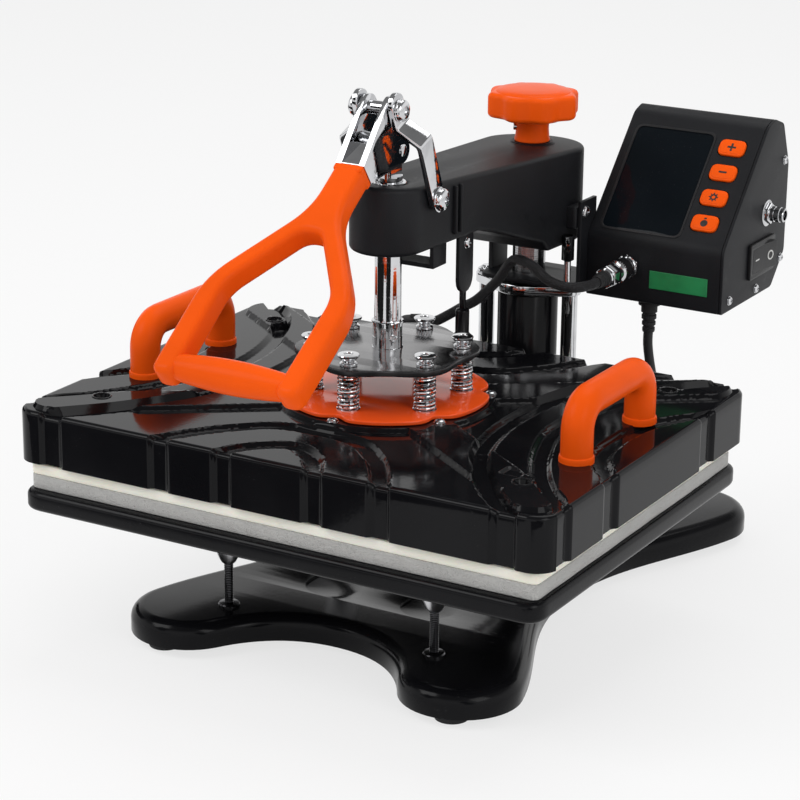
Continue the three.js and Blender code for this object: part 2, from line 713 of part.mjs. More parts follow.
// Cast base: a quarter of its outline, mirrored four ways
function baseOutline(inset) {
  const lobeX = FOOT_X - LOBE_INSET_X;
  const lobeY = FOOT_FRONT_Y + LOBE_INSET_Y - BASE_CENTRE_Y;
  const lobeRadius = LOBE_RADIUS - inset;
  const frontY = FOOT_FRONT_Y + WAIST_FRONT + inset - BASE_CENTRE_Y;
  const sideX = WAIST_SIDE - inset;
  const startShare = 1.15;
  const endShare = 0.083;
  const start = HALF_TURN * startShare;
  const end = HALF_TURN * (2 + endShare);
  const spot = (angle) => new THREE.Vector2(lobeX, lobeY).add(
    new THREE.Vector2(lobeRadius * Math.cos(angle), lobeRadius * Math.sin(angle)),
  );
  const heading = (angle) => new THREE.Vector2(-Math.sin(angle), Math.cos(angle));
  const lead = spot(start);
  const leave = spot(end);
  const leadShare = 0.63;
  const leaveShare = 1.7;
  const halfShare = 0.5;
  const waistShare = 0.385;
  const front = new THREE.CubicBezierCurve(
    new THREE.Vector2(0, frontY),
    new THREE.Vector2(lead.x * halfShare, frontY),
    lead.clone().addScaledVector(heading(start), -LOBE_RADIUS * leadShare),
    lead,
  );
  const side = new THREE.CubicBezierCurve(
    leave,
    leave.clone().addScaledVector(heading(end), LOBE_RADIUS * leaveShare),
    new THREE.Vector2(sideX, lobeY * waistShare),
    new THREE.Vector2(sideX, 0),
  );
  const frontSteps = 3;
  const lobeSteps = 7;
  const sideSteps = 5;
  const quarter = front.getPoints(frontSteps).slice(0, -1);
  for (let step = 0; step <= lobeSteps; step += 1) {
    quarter.push(spot(start + ((end - start) * step) / lobeSteps));
  }
  quarter.push(...side.getPoints(sideSteps).slice(1));
  const right = [...quarter, ...quarter.slice(0, -1).reverse().map((p) => new THREE.Vector2(p.x, -p.y))];
  const left = right.slice(1, -1).reverse().map((p) => new THREE.Vector2(-p.x, p.y));
  return new THREE.Shape([...right, ...left]);
}

function feetPlaces() {
  return [
    ["foot_front_left", -FOOT_X, FOOT_FRONT_Y],
    ["foot_front_right", FOOT_X, FOOT_FRONT_Y],
    ["foot_rear_left", -FOOT_X, FOOT_REAR_Y],
    ["foot_rear_right", FOOT_X, FOOT_REAR_Y],
  ];
}

function capsule(x, y0, y1, half, z0, z1) {
  const points = [...circlePoints(x, y0, half, FINE), ...circlePoints(x, y1, half, FINE)];
  return slab(hullOutline(points), z0, z1);
}

function buildBase() {
  const body = slab(baseOutline(0), BASE_BOTTOM - BASE_EDGE, BASE_TOP, BASE_EDGE, 2);
  const room = slab(baseOutline(BASE_WALL + BASE_EDGE / 2), BASE_BOTTOM - OVERRUN, BASE_TOP - BASE_WALL);
  const outside = FOOT_REAR_Y + LOBE_RADIUS + BASE_EDGE;
  const below = block(-outside, outside, -outside, outside, -BASE_EDGE - OVERRUN, 0);
  body.translate(0, BASE_CENTRE_Y, 0);
  room.translate(0, BASE_CENTRE_Y, 0);
  below.translate(0, BASE_CENTRE_Y, BASE_BOTTOM);
  let solid = cut(solidOf(body), below, room);
  const bossTop = BASE_TOP - BASE_WALL / 2;
  feetPlaces().forEach(([, x, y]) => {
    solid = solid.add(solidOf(pillar(FOOT_RADIUS + FOOT_BOSS_WALL, x, y, BASE_BOTTOM, bossTop)));
  });
  solid = solid.add(solidOf(pillar(COLUMN_FOOT_RADIUS, 0, COLUMN_Y, BASE_BOTTOM, bossTop)));
  [-CHANNEL_X, CHANNEL_X].forEach((x) => {
    const channel = capsule(x, CHANNEL_FRONT_Y, CHANNEL_REAR_Y, CHANNEL_HALF, BASE_TOP - CHANNEL_DEPTH, BASE_TOP + OVERRUN);
    solid = cut(solid, channel);
  });
  place("base_plate", solid, GLOSS_BLACK);
}

function buildFeet() {
  feetPlaces().forEach(([name, x, y]) => {
    place(name, pillar(FOOT_RADIUS - FOOT_TAPER, x, y, 0, FOOT_HEIGHT, FINE, FOOT_RADIUS), RUBBER);
  });
}

// Lower board with its four levelling studs
function buildBoard() {
  const halfWidth = PAD_WIDTH / 2 + BOARD_LIP;
  const halfDepth = PAD_DEPTH / 2 + BOARD_FRONT_LIP;
  const outline = rectangle(-halfWidth, halfWidth, -halfDepth, halfDepth, BOARD_CORNER);
  let solid = solidOf(slab(outline, BOARD_HEIGHT, BOARD_TOP, BOARD_EDGE));
  const profile = [
    [0, BASE_TOP],
    [STUD_RADIUS, BASE_TOP],
    [STUD_RADIUS, BOARD_HEIGHT - STUD_NUT_LENGTH],
    [STUD_NUT_LOW_RADIUS, BOARD_HEIGHT - STUD_NUT_LENGTH],
    [STUD_NUT_TOP_RADIUS, BOARD_HEIGHT + BOARD_EDGE],
    [0, BOARD_HEIGHT + BOARD_EDGE],
  ];
  [[-STUD_X, -STUD_Y], [STUD_X, -STUD_Y], [STUD_X, STUD_Y], [-STUD_X, STUD_Y]].forEach(([x, y]) => {
    solid = solid.add(solidOf(turned(profile, COARSE).translate(x, y, 0)));
  });
  place("lower_board", solid, GLOSS_BLACK);
}

// A turned piece on the z axis, with its profile given as radius and height
function turned(profile, sides) {
  const points = profile.map(([radius, height]) => new THREE.Vector2(radius, height));
  return new THREE.LatheGeometry(points, sides).rotateX(QUARTER_TURN);
}

function buildPad() {
  const outline = rectangle(-PAD_WIDTH / 2, PAD_WIDTH / 2, -PAD_DEPTH / 2, PAD_DEPTH / 2, PAD_CORNER);
  place("foam_pad", slab(outline, BOARD_TOP, FOAM_TOP), GREY_FOAM);
  place("silicone_sheet", slab(outline, FOAM_TOP, SHEET_TOP), CREAM);
}

// Column, its head with the tie rods, and the swing post
function buildColumn() {
  const tube = turned([
    [0, BASE_TOP],
    [COLUMN_FOOT_RADIUS, BASE_TOP],
    [COLUMN_FOOT_RADIUS, BASE_TOP + COLUMN_FOOT_HEIGHT / 2],
    [COLUMN_RADIUS, BASE_TOP + COLUMN_FOOT_HEIGHT],
    [COLUMN_RADIUS, COLUMN_TOP],
    [POST_BORE, COLUMN_TOP],
    [POST_BORE, POST_BOTTOM - SEAT_GAP],
    [0, POST_BOTTOM - SEAT_GAP],
  ], ROUND).translate(0, COLUMN_Y, 0);
  const tieHoles = [-TIE_X, TIE_X].map((x) => (
    pillar(TIE_RADIUS + SEAT_GAP, x, COLUMN_Y, BASE_TOP - OVERRUN, BASE_TOP + COLUMN_FOOT_HEIGHT + OVERRUN)
  ));
  place("column_tube", cut(solidOf(tube), ...tieHoles), GLOSS_BLACK);
  const round = HEAD_HALF_WIDTH;
  const reach = HEAD_HALF_LENGTH;
  const outline = rectangle(-reach, reach, COLUMN_Y - HEAD_HALF_WIDTH, COLUMN_Y + HEAD_HALF_WIDTH, round);
  let head = solidOf(slab(outline, HEAD_BOTTOM, HEAD_TOP));
  head = cut(head, pillar(POST_BORE, 0, COLUMN_Y, HEAD_BOTTOM - OVERRUN, HEAD_TOP + OVERRUN));
  [-TIE_X, TIE_X].forEach((x) => {
    head = head.add(solidOf(pillar(TIE_RADIUS, x, COLUMN_Y, BASE_TOP, HEAD_TOP)));
    head = head.add(solidOf(pillar(TIE_NUT_RADIUS, x, COLUMN_Y, HEAD_TOP, HEAD_TOP + TIE_NUT_HEIGHT, 6)));
  });
  place("column_head", head, CHROME);
  place("swing_post", pillar(POST_RADIUS, 0, COLUMN_Y, POST_BOTTOM, POST_TOP, ROUND), STEEL);
}

// Arm casting
function armTop(y) {
  return ARM_FRONT_TOP + ARM_TOP_SLOPE_SHARE * y;
}

function armHalfWidth(y) {
  return ARM_FRONT_RADIUS + ((ARM_REAR_RADIUS - ARM_FRONT_RADIUS) * y) / COLUMN_Y;
}

function buildArm() {
  const plan = hullOutline([
    ...circlePoints(0, 0, ARM_FRONT_RADIUS, ROUND),
    ...circlePoints(0, COLUMN_Y, ARM_REAR_RADIUS, ROUND),
  ]);
  const lean = new THREE.Matrix4().set(1, 0, 0, 0, 0, 1, 0, 0, 0, ARM_TOP_SLOPE_SHARE, 1, 0, 0, 0, 0, 1);
  const deep = ARM_REAR_BOTTOM - ARM_EDGE - OVERRUN;
  const body = slab(plan, deep, ARM_FRONT_TOP, ARM_EDGE, 2).applyMatrix4(lean);
  const front = -ARM_FRONT_RADIUS - OVERRUN;
  const rear = COLUMN_Y + ARM_REAR_RADIUS + OVERRUN;
  const low = ARM_REAR_BOTTOM - 4 * ARM_REAR_RADIUS;
  const under = sideSlab(outlineOf([
    [front, low],
    [rear, low],
    [rear, ARM_REAR_BOTTOM],
    [HAUNCH_REAR_Y + HAUNCH_REAR_RISE, ARM_REAR_BOTTOM],
    [HAUNCH_REAR_Y, ARM_REAR_BOTTOM + HAUNCH_REAR_RISE],
    [HAUNCH_KNEE_Y, ARM_FRONT_BOTTOM - HAUNCH_KNEE_DROP],
    [HAUNCH_FRONT_Y, ARM_FRONT_BOTTOM],
    [front, ARM_FRONT_BOTTOM],
  ]), -ARM_REAR_RADIUS - OVERRUN, ARM_REAR_RADIUS + OVERRUN);
  let solid = cut(solidOf(body), under);
  solid = solid.add(solidOf(pillar(KNOB_SEAT_RADIUS, 0, COLUMN_Y, PRESSURE_ROOM_TOP, KNOB_SEAT_HEIGHT)));
  solid = solid.add(solidOf(block(
    ARM_REAR_RADIUS / 2, ARM_LUG_X,
    ARM_LUG_Y - ARM_LUG_LENGTH / 2, ARM_LUG_Y + ARM_LUG_LENGTH / 2,
    ARM_LUG_BOTTOM, ARM_LUG_BOTTOM + ARM_LUG_HEIGHT,
  )));
  [ARM_RIB_Y, ARM_RIB_Y + ARM_RIB_SPACING].forEach((y) => {
    const reach = armHalfWidth(y) + ARM_RIB_HEIGHT;
    const top = armTop(y) - ARM_EDGE;
    solid = solid.add(solidOf(block(-reach, reach, y, y + ARM_RIB_WIDTH, top - ARM_RIB_LENGTH, top)));
  });
  const bushBore = SHAFT_RADIUS + RUN_GAP + BUSH_WALL + SEAT_GAP;
  solid = cut(
    solid,
    pillar(bushBore, 0, 0, ARM_FRONT_BOTTOM - OVERRUN, ARM_FRONT_TOP + OVERRUN, ROUND),
    pillar(POST_BORE, 0, COLUMN_Y, ARM_REAR_BOTTOM - OVERRUN, PRESSURE_ROOM_TOP, ROUND),
    pillar(SCREW_RADIUS + SEAT_GAP, 0, COLUMN_Y, POST_TOP, KNOB_SEAT_HEIGHT + OVERRUN),
    ...linkBoltSides().map(([, side]) => linkBoltShank(side, LINK_BOLT_RADIUS + SEAT_GAP, OVERRUN)),
  );
  place("arm_casting", solid, SATIN_BLACK);
  const bush = turned([
    [SHAFT_RADIUS + RUN_GAP, ARM_FRONT_BOTTOM + BUSH_INSET],
    [SHAFT_RADIUS + RUN_GAP + BUSH_WALL, ARM_FRONT_BOTTOM + BUSH_INSET],
    [SHAFT_RADIUS + RUN_GAP + BUSH_WALL, ARM_FRONT_TOP - BUSH_INSET],
    [SHAFT_RADIUS + RUN_GAP, ARM_FRONT_TOP - BUSH_INSET],
    [SHAFT_RADIUS + RUN_GAP, ARM_FRONT_BOTTOM + BUSH_INSET],
  ], ROUND);
  place("shaft_bush", bush, BRONZE);
}

// Bolts on both sides of the arm that carry the links
function linkBoltSides() {
  return [["link_bolt_left", -1], ["link_bolt_right", 1]];
}

function spanX(side, from, to) {
  return side > 0 ? [from, to] : [-to, -from];
}

function linkBoltShank(side, radius, extra) {
  const inner = armHalfWidth(ANCHOR_Y) - LINK_BOLT_DEPTH;
  const outer = LINK_LOW_X + LINK_THICKNESS + SEAT_GAP;
  const [x0, x1] = spanX(side, inner - (extra > 0 ? SEAT_GAP : 0), outer + extra);
  return crossPin(radius, x0, x1, ANCHOR_Y, ANCHOR_Z, COARSE);
}

function buildLinkBolts() {
  linkBoltSides().forEach(([name, side]) => {
    const start = LINK_LOW_X + LINK_THICKNESS + SEAT_GAP;
    const [x0, x1] = spanX(side, start, start + LINK_BOLT_HEAD_HEIGHT);
    const head = crossPin(LINK_BOLT_HEAD_RADIUS, x0, x1, ANCHOR_Y, ANCHOR_Z);
    place(name, join(linkBoltShank(side, LINK_BOLT_RADIUS, 0), head), CHROME);
  });
}

// Bent straps between the arm bolts and the upper pin
function buildLinks() {
  const end = LINK_LENGTH + LINK_SLOT_LENGTH;
  const ends = [...circlePoints(0, 0, LINK_HALF_WIDTH, FINE), ...circlePoints(end, 0, LINK_HALF_WIDTH, FINE)];
  const slotEnds = [
    ...circlePoints(LINK_LENGTH + SEAT_GAP, 0, LINK_SLOT_HALF, COARSE),
    ...circlePoints(LINK_LENGTH + LINK_SLOT_LENGTH - SEAT_GAP, 0, LINK_SLOT_HALF, COARSE),
  ];
  [["link_left", -1], ["link_right", 1]].forEach(([name, side]) => {
    const start = -LINK_HALF_WIDTH - OVERRUN;
    const finishLine = end + LINK_HALF_WIDTH + OVERRUN;
    const inner = [
      [LINK_LOW_X, start],
      [LINK_LOW_X, LINK_BEND_START],
      [LINK_HIGH_X, LINK_BEND_END],
      [LINK_HIGH_X, finishLine],
    ];
    const outer = inner.map(([x, s]) => [x + LINK_THICKNESS, s]).reverse();
    outer[1][1] += LINK_THICKNESS / 2;
    outer[2][1] += LINK_THICKNESS / 2;
    const points = [...inner, ...outer].map(([x, s]) => [side * x, s]);
    const profile = outlineOf(side > 0 ? points.reverse() : points);
    const strap = slab(profile, -LINK_HALF_WIDTH, LINK_HALF_WIDTH).applyMatrix4(LINK_FRAME);
    const reach = LINK_LOW_X + LINK_THICKNESS + OVERRUN;
    const ending = slab(hullOutline(ends), -reach, reach).applyMatrix4(LINK_SIDE_FRAME);
    const slot = slab(hullOutline(slotEnds), -reach, reach).applyMatrix4(LINK_SIDE_FRAME);
    const bolt = crossPin(LINK_BOLT_RADIUS + SEAT_GAP, -reach, reach, ANCHOR_Y, ANCHOR_Z, COARSE);
    place(name, cut(solidOf(strap).intersect(solidOf(ending)), slot, bolt), CHROME);
  });
}

// Press shaft with its flat tongue, and the scalloped disc that it stands on
function buildShaft() {
  const round = pillar(SHAFT_RADIUS, 0, 0, DISC_TOP, CRANK_Z + TONGUE_ROUND, ROUND);
  const keep = [
    block(-SHAFT_RADIUS, SHAFT_RADIUS, -SHAFT_RADIUS, SHAFT_RADIUS, DISC_TOP, TONGUE_BOTTOM),
    block(-TONGUE_HALF, TONGUE_HALF, -SHAFT_RADIUS, SHAFT_RADIUS, TONGUE_BOTTOM - OVERRUN, CRANK_Z),
    crossPin(TONGUE_ROUND, -TONGUE_HALF, TONGUE_HALF, 0, CRANK_Z),
  ];
  const solid = solidOf(round).intersect(join(...keep));
  const eye = crossPin(LOWER_PIN_RADIUS + SEAT_GAP, -SHAFT_RADIUS, SHAFT_RADIUS, 0, CRANK_Z);
  place("press_shaft", cut(solid, eye), CHROME);
  const steps = 42;
  const disc = solidOf(slab(
    wavedOutline(DISC_RADIUS, DISC_LOBE, BOLT_COUNT, BOLT_START, steps),
    DISC_BOTTOM,
    DISC_TOP,
  ));
  const holes = boltPlaces().map(([x, y]) => (
    pillar(BOLT_RADIUS + RUN_GAP, x, y, DISC_BOTTOM - OVERRUN, DISC_TOP + OVERRUN, COARSE)
  ));
  place("pressure_disc", cut(disc, ...holes), GLOSS_BLACK);
}

function boltPlaces() {
  return Array.from({ length: BOLT_COUNT }, (_, step) => {
    const angle = BOLT_START + (2 * HALF_TURN * step) / BOLT_COUNT;
    return [BOLT_CIRCLE * Math.cos(angle), BOLT_CIRCLE * Math.sin(angle)];
  });
}

// Orange plate with six notches and the spring bolts
function buildRing() {
  const notches = boltPlaces().map(([x, y]) => {
    const share = NOTCH_CIRCLE / BOLT_CIRCLE;
    return pillar(NOTCH_RADIUS, x * share, y * share, RING_BOTTOM - OVERRUN, RING_TOP + OVERRUN, COARSE);
  });
  const plate = pillar(RING_RADIUS, 0, 0, RING_BOTTOM, RING_TOP, 2 * FINE);
  let solid = cut(solidOf(plate), ...notches);
  const headBottom = DISC_TOP + SEAT_GAP;
  const coneBottom = headBottom + BOLT_SLEEVE_HEIGHT;
  const rimBottom = coneBottom + BOLT_CONE_HEIGHT;
  const rimTop = rimBottom + BOLT_RIM_HEIGHT;
  const profile = [
    [0, RING_TOP - RING_THICKNESS / 2],
    [BOLT_RADIUS, RING_TOP - RING_THICKNESS / 2],
    [BOLT_RADIUS, headBottom],
    [BOLT_SLEEVE_RADIUS, headBottom],
    [BOLT_SLEEVE_RADIUS, coneBottom],
    [BOLT_HEAD_RADIUS, rimBottom],
    [BOLT_HEAD_RADIUS - BOLT_CROWN_HEIGHT, rimTop + BOLT_CROWN_HEIGHT],
    [0, rimTop + BOLT_CROWN_HEIGHT],
  ];
  boltPlaces().forEach(([x, y]) => {
    solid = solid.add(solidOf(turned(profile, COARSE).translate(x, y, 0)));
  });
  place("ring_plate", solid, ORANGE);
}

// Coil springs round the bolts
function springPoints() {
  const stub = 2 * SPRING_WIRE_RADIUS;
  const bottom = RING_TOP + SEAT_GAP;
  const top = DISC_BOTTOM - SEAT_GAP;
  const steps = SPRING_CURLS * CURL_STEPS;
  const points = [new THREE.Vector3(SPRING_RADIUS, 0, bottom)];
  for (let step = 0; step <= steps; step += 1) {
    const angle = (2 * HALF_TURN * step) / CURL_STEPS;
    const height = bottom + stub + ((top - bottom - 2 * stub) * step) / steps;
    points.push(new THREE.Vector3(SPRING_RADIUS * Math.cos(angle), SPRING_RADIUS * Math.sin(angle), height));
  }
  const last = points[points.length - 1];
  points.push(new THREE.Vector3(last.x, last.y, top));
  return points;
}

function buildSprings() {
  const points = springPoints();
  const gap = leastSelfGap(points, SPRING_WIRE_RADIUS, CURL_STEPS / 2);
  console.log(`spring: least gap to itself ${gap.toFixed(2)} mm`);
  boltPlaces().forEach(([x, y], step) => {
    const moved = points.map((point) => point.clone().add(new THREE.Vector3(x, y, 0)));
    place(`spring_${step + 1}`, tube(moved, SPRING_WIRE_RADIUS, CURL_SIDES), CHROME);
  });
}

// Fork with two cheeks, web and tang
function leverPoint(along, normal) {
  const spot = LEVER_ORIGIN.clone().addScaledVector(LEVER_ALONG, along).addScaledVector(LEVER_NORMAL, normal);
  return [spot.y, spot.z];
}

function buildFork() {
  const cheek = hullOutline([
    ...circlePoints(JOINT_Y, JOINT_Z, CHEEK_ROUND, FINE),
    ...circlePoints(0, CRANK_Z, CHEEK_ROUND, FINE),
    leverPoint(NECK_START - SEAT_GAP, -WEB_HALF_HEIGHT),
    leverPoint(NECK_START - SEAT_GAP, WEB_HALF_HEIGHT),
  ]);
  const webEnd = NECK_START - SEAT_GAP;
  const web = block(-CHEEK_OUTER_X, CHEEK_OUTER_X, WEB_START, webEnd, -WEB_HALF_HEIGHT, WEB_HALF_HEIGHT);
  const tang = block(
    -TANG_HALF_WIDTH, TANG_HALF_WIDTH,
    WEB_START, NECK_START + TANG_LENGTH,
    -TANG_HALF_HEIGHT, TANG_HALF_HEIGHT,
  );
  const solid = join(
    sideSlab(cheek, -CHEEK_OUTER_X, -CHEEK_INNER_X),
    sideSlab(cheek, CHEEK_INNER_X, CHEEK_OUTER_X),
    web.applyMatrix4(LEVER_FRAME),
    tang.applyMatrix4(LEVER_FRAME),
  );
  const reach = CHEEK_OUTER_X + OVERRUN;
  place("lever_fork", cut(
    solid,
    crossPin(UPPER_PIN_RADIUS + SEAT_GAP, -reach, reach, JOINT_Y, JOINT_Z, COARSE),
    crossPin(LOWER_PIN_RADIUS + SEAT_GAP, -reach, reach, 0, CRANK_Z, COARSE),
  ), CHROME);
}

function buildPins() {
  const headStart = LINK_HIGH_X + LINK_THICKNESS + SEAT_GAP;
  const headEnd = headStart + UPPER_HEAD_HEIGHT;
  const spacer = CHEEK_INNER_X - SEAT_GAP;
  place("upper_pin", join(
    crossPin(UPPER_PIN_RADIUS, -headEnd, headEnd, JOINT_Y, JOINT_Z, COARSE),
    crossPin(UPPER_SPACER_RADIUS, -spacer, spacer, JOINT_Y, JOINT_Z, COARSE),
    crossPin(UPPER_HEAD_RADIUS, headStart, headEnd, JOINT_Y, JOINT_Z),
    crossPin(UPPER_HEAD_RADIUS, -headEnd, -headStart, JOINT_Y, JOINT_Z),
  ), CHROME);
  const reach = CHEEK_OUTER_X + LOWER_HEAD_HEIGHT;
  place("lower_pin", crossPin(LOWER_PIN_RADIUS, -reach, reach, 0, CRANK_Z, COARSE), CHROME);
}

// Orange loop handle with its bulged grip
function buildLeverHandle() {
  const neckRound = 6;
  const throatRound = 14;
  const shoulderRound = 16;
  const gripRound = 11;
  const outline = roundedOutline([
    [-NECK_HALF_WIDTH, NECK_START, neckRound],
    [NECK_HALF_WIDTH, NECK_START, neckRound],
    [NECK_HALF_WIDTH, NECK_END, throatRound],
    [SHOULDER_HALF_WIDTH, SHOULDER_END, shoulderRound],
    [GRIP_HALF_WIDTH, GRIP_END, gripRound],
    [-GRIP_HALF_WIDTH, GRIP_END, gripRound],
    [-SHOULDER_HALF_WIDTH, SHOULDER_END, shoulderRound],
    [-NECK_HALF_WIDTH, NECK_END, throatRound],
  ]);
  const holeTopRound = 5;
  const holeRound = 8;
  const innerShoulder = SHOULDER_HALF_WIDTH - LEG_WIDTH;
  const innerGrip = GRIP_HALF_WIDTH - LEG_WIDTH;
  const holeEnd = GRIP_END - GRIP_WIDTH;
  const hole = roundedOutline([
    [-LOOP_TOP_HALF, LOOP_TOP, holeTopRound],
    [LOOP_TOP_HALF, LOOP_TOP, holeTopRound],
    [innerShoulder, SHOULDER_END, holeRound],
    [innerGrip, holeEnd, holeRound],
    [-innerGrip, holeEnd, holeRound],
    [-innerShoulder, SHOULDER_END, holeRound],
  ]);
  const half = LEVER_THICKNESS / 2;
  const frame = cut(
    solidOf(slab(outline, -half, half, LEVER_EDGE)),
    flare(hole, -half, half, LEVER_EDGE),
    slab(hole, -half - OVERRUN, half + OVERRUN),
  );
  const profile = [];
  const bulgeSteps = 6;
  for (let step = 0; step <= bulgeSteps; step += 1) {
    const share = (2 * step) / bulgeSteps - 1;
    profile.push([GRIP_RADIUS + GRIP_BULGE * Math.cos(share * QUARTER_TURN), innerGrip * share]);
  }
  const grip = turned([[0, -innerGrip], ...profile, [0, innerGrip]], COARSE);
  grip.rotateY(QUARTER_TURN).translate(0, GRIP_CENTRE, 0);
  const socket = block(
    -TANG_HALF_WIDTH - SEAT_GAP, TANG_HALF_WIDTH + SEAT_GAP,
    NECK_START - OVERRUN, NECK_START + TANG_LENGTH + SEAT_GAP,
    -TANG_HALF_HEIGHT - SEAT_GAP, TANG_HALF_HEIGHT + SEAT_GAP,
  );
  const solid = cut(frame.add(solidOf(grip)), socket);
  place("lever_handle", geometryOf(solid).applyMatrix4(LEVER_FRAME), ORANGE);
}

// Platen cover: open below, grooved sides, strips and curved channels on top
const OUTER_CHANNEL_SHARES = [[0.86, -1.02], [0.673, -0.733], [0.53, -0.4], [0.472, 0.03], [0.51, 0.47], [0.61, 0.76], [0.77, 1.02]];
const MIDDLE_CHANNEL_SHARES = [[1.02, -0.88], [0.855, -0.66], [0.71, -0.32], [0.633, 0.06], [0.69, 0.5], [0.8, 0.78], [0.94, 0.98]];
const INNER_CHANNEL_SHARES = [[1.02, -0.46], [0.89, -0.25], [0.852, 0.03], [0.89, 0.32], [1.02, 0.58]];
const WIDE_ARCH_SHARES = [
  [0.422, 1.02], [0.35, 0.853], [0.26, 0.7], [0.15, 0.585], [0, 0.56],
  [-0.15, 0.585], [-0.26, 0.7], [-0.35, 0.853], [-0.422, 1.02],
];
const NARROW_ARCH_SHARES = [[0.176, 1.02], [0.12, 0.88], [0, 0.775], [-0.12, 0.88], [-0.176, 1.02]];

function channelCutter(shares, sx, sy) {
  const line = shares.map(([shareX, shareY]) => (
    new THREE.Vector2((sx * shareX * COVER_WIDTH) / 2, (sy * shareY * COVER_DEPTH) / 2)
  ));
  const left = [];
  const right = [];
  line.forEach((spot, i) => {
    const before = line[Math.max(i - 1, 0)];
    const after = line[Math.min(i + 1, line.length - 1)];
    const heading = after.clone().sub(before).normalize();
    left.push([spot.x - CHANNEL_GROOVE_HALF * heading.y, spot.y + CHANNEL_GROOVE_HALF * heading.x]);
    right.push([spot.x + CHANNEL_GROOVE_HALF * heading.y, spot.y - CHANNEL_GROOVE_HALF * heading.x]);
  });
  return slab(outlineOf([...right, ...left.reverse()]), COVER_DECK - CHANNEL_GROOVE_DEPTH, COVER_TOP + OVERRUN);
}

function buildCover() {
  const halfWidth = COVER_WIDTH / 2;
  const halfDepth = COVER_DEPTH / 2;
  const outline = rectangle(-halfWidth, halfWidth, -halfDepth, halfDepth, COVER_CORNER);
  let solid = solidOf(slab(outline, COVER_RIM, COVER_DECK));
  solid = solid.add(solidOf(pillar(CENTRE_PAD_RADIUS, 0, 0, COVER_DECK - OVERRUN, COVER_TOP, 2 * FINE)));
  const reliefs = [];
  const endX = halfWidth - STRIP_END_INSET;
  const endY = halfDepth - STRIP_END_INSET;
  [[1, 1], [-1, 1], [-1, -1], [1, -1]].forEach(([sx, sy]) => {
    const points = [
      ...circlePoints(0, 0, STRIP_HALF_WIDTH, COARSE),
      ...circlePoints(sx * endX, sy * endY, STRIP_HALF_WIDTH, FINE),
    ];
    reliefs.push(slab(hullOutline(points), COVER_DECK - OVERRUN, COVER_TOP));
  });
  const inside = solidOf(slab(outline, COVER_RIM, COVER_TOP + OVERRUN));
  reliefs.forEach((relief) => {
    solid = solid.add(solidOf(relief).intersect(inside));
  });
  const cuts = [];
  [-1, 1].forEach((side) => {
    cuts.push(channelCutter(OUTER_CHANNEL_SHARES, side, 1));
    cuts.push(channelCutter(MIDDLE_CHANNEL_SHARES, side, 1));
    cuts.push(channelCutter(INNER_CHANNEL_SHARES, side, 1));
    cuts.push(channelCutter(WIDE_ARCH_SHARES, 1, side));
    cuts.push(channelCutter(NARROW_ARCH_SHARES, 1, side));
  });
  GROOVE_FRONT_X.forEach((x) => {
    [-x, x].forEach((middle) => {
      [-halfDepth, halfDepth].forEach((y) => {
        cuts.push(block(
          middle - GROOVE_WIDTH / 2, middle + GROOVE_WIDTH / 2,
          y - GROOVE_DEPTH, y + GROOVE_DEPTH,
          COVER_RIM - OVERRUN, COVER_TOP + OVERRUN,
        ));
      });
    });
  });
  [-GROOVE_SIDE_Y[0], GROOVE_SIDE_Y[1]].forEach((middle) => {
    [-halfWidth, halfWidth].forEach((x) => {
      cuts.push(block(
        x - GROOVE_DEPTH, x + GROOVE_DEPTH,
        middle - GROOVE_WIDTH / 2, middle + GROOVE_WIDTH / 2,
        COVER_RIM - OVERRUN, COVER_TOP + OVERRUN,
      ));
    });
  });
  [[1, 1], [-1, 1], [-1, -1], [1, -1]].forEach(([sx, sy]) => {
    const x = sx * STRIP_HOLE_X;
    const y = sy * STRIP_HOLE_Y;
    cuts.push(pillar(STRIP_HOLE_RADIUS, x, y, COVER_TOP - STRIP_HOLE_DEPTH, COVER_TOP + OVERRUN, COARSE));
  });
  const roomX = halfWidth - COVER_SIDE_WALL;
  const roomY = halfDepth - COVER_SIDE_WALL;
  cuts.push(block(-roomX, roomX, -roomY, roomY, COVER_RIM - OVERRUN, COVER_DECK - COVER_ROOF));
  solid = cut(solid, ...cuts);
  const clipTop = COVER_TOP + CLIP_HEIGHT;
  solid = solid.add(solidOf(pillar(CLIP_RADIUS, CLIP_X, CLIP_Y, COVER_DECK - OVERRUN / 2, clipTop, COARSE)));
  solid = solid.add(solidOf(pillar(
    CLIP_PIN_RADIUS, CLIP_X, CLIP_Y, clipTop - OVERRUN, clipTop + CLIP_PIN_HEIGHT, COARSE,
  )));
  place("platen_cover", solid, GLOSS_BLACK);
}

function buildPlaten() {
  const halfWidth = COVER_WIDTH / 2 - COVER_SIDE_WALL - PLATEN_INSET;
  const halfDepth = COVER_DEPTH / 2 - COVER_SIDE_WALL - PLATEN_INSET;
  const plate = rectangle(-halfWidth, halfWidth, -halfDepth, halfDepth, PAD_CORNER);
  place("heating_plate", slab(plate, PLATEN_BOTTOM, PLATEN_TOP), ALUMINIUM);
  const innerWidth = halfWidth - INSULATION_INSET;
  const innerDepth = halfDepth - INSULATION_INSET;
  const bottom = PLATEN_TOP + SEAT_GAP;
  place(
    "insulation_board",
    block(-innerWidth, innerWidth, -innerDepth, innerDepth, bottom, bottom + INSULATION_THICKNESS),
    BOARD_FIBRE,
  );
}

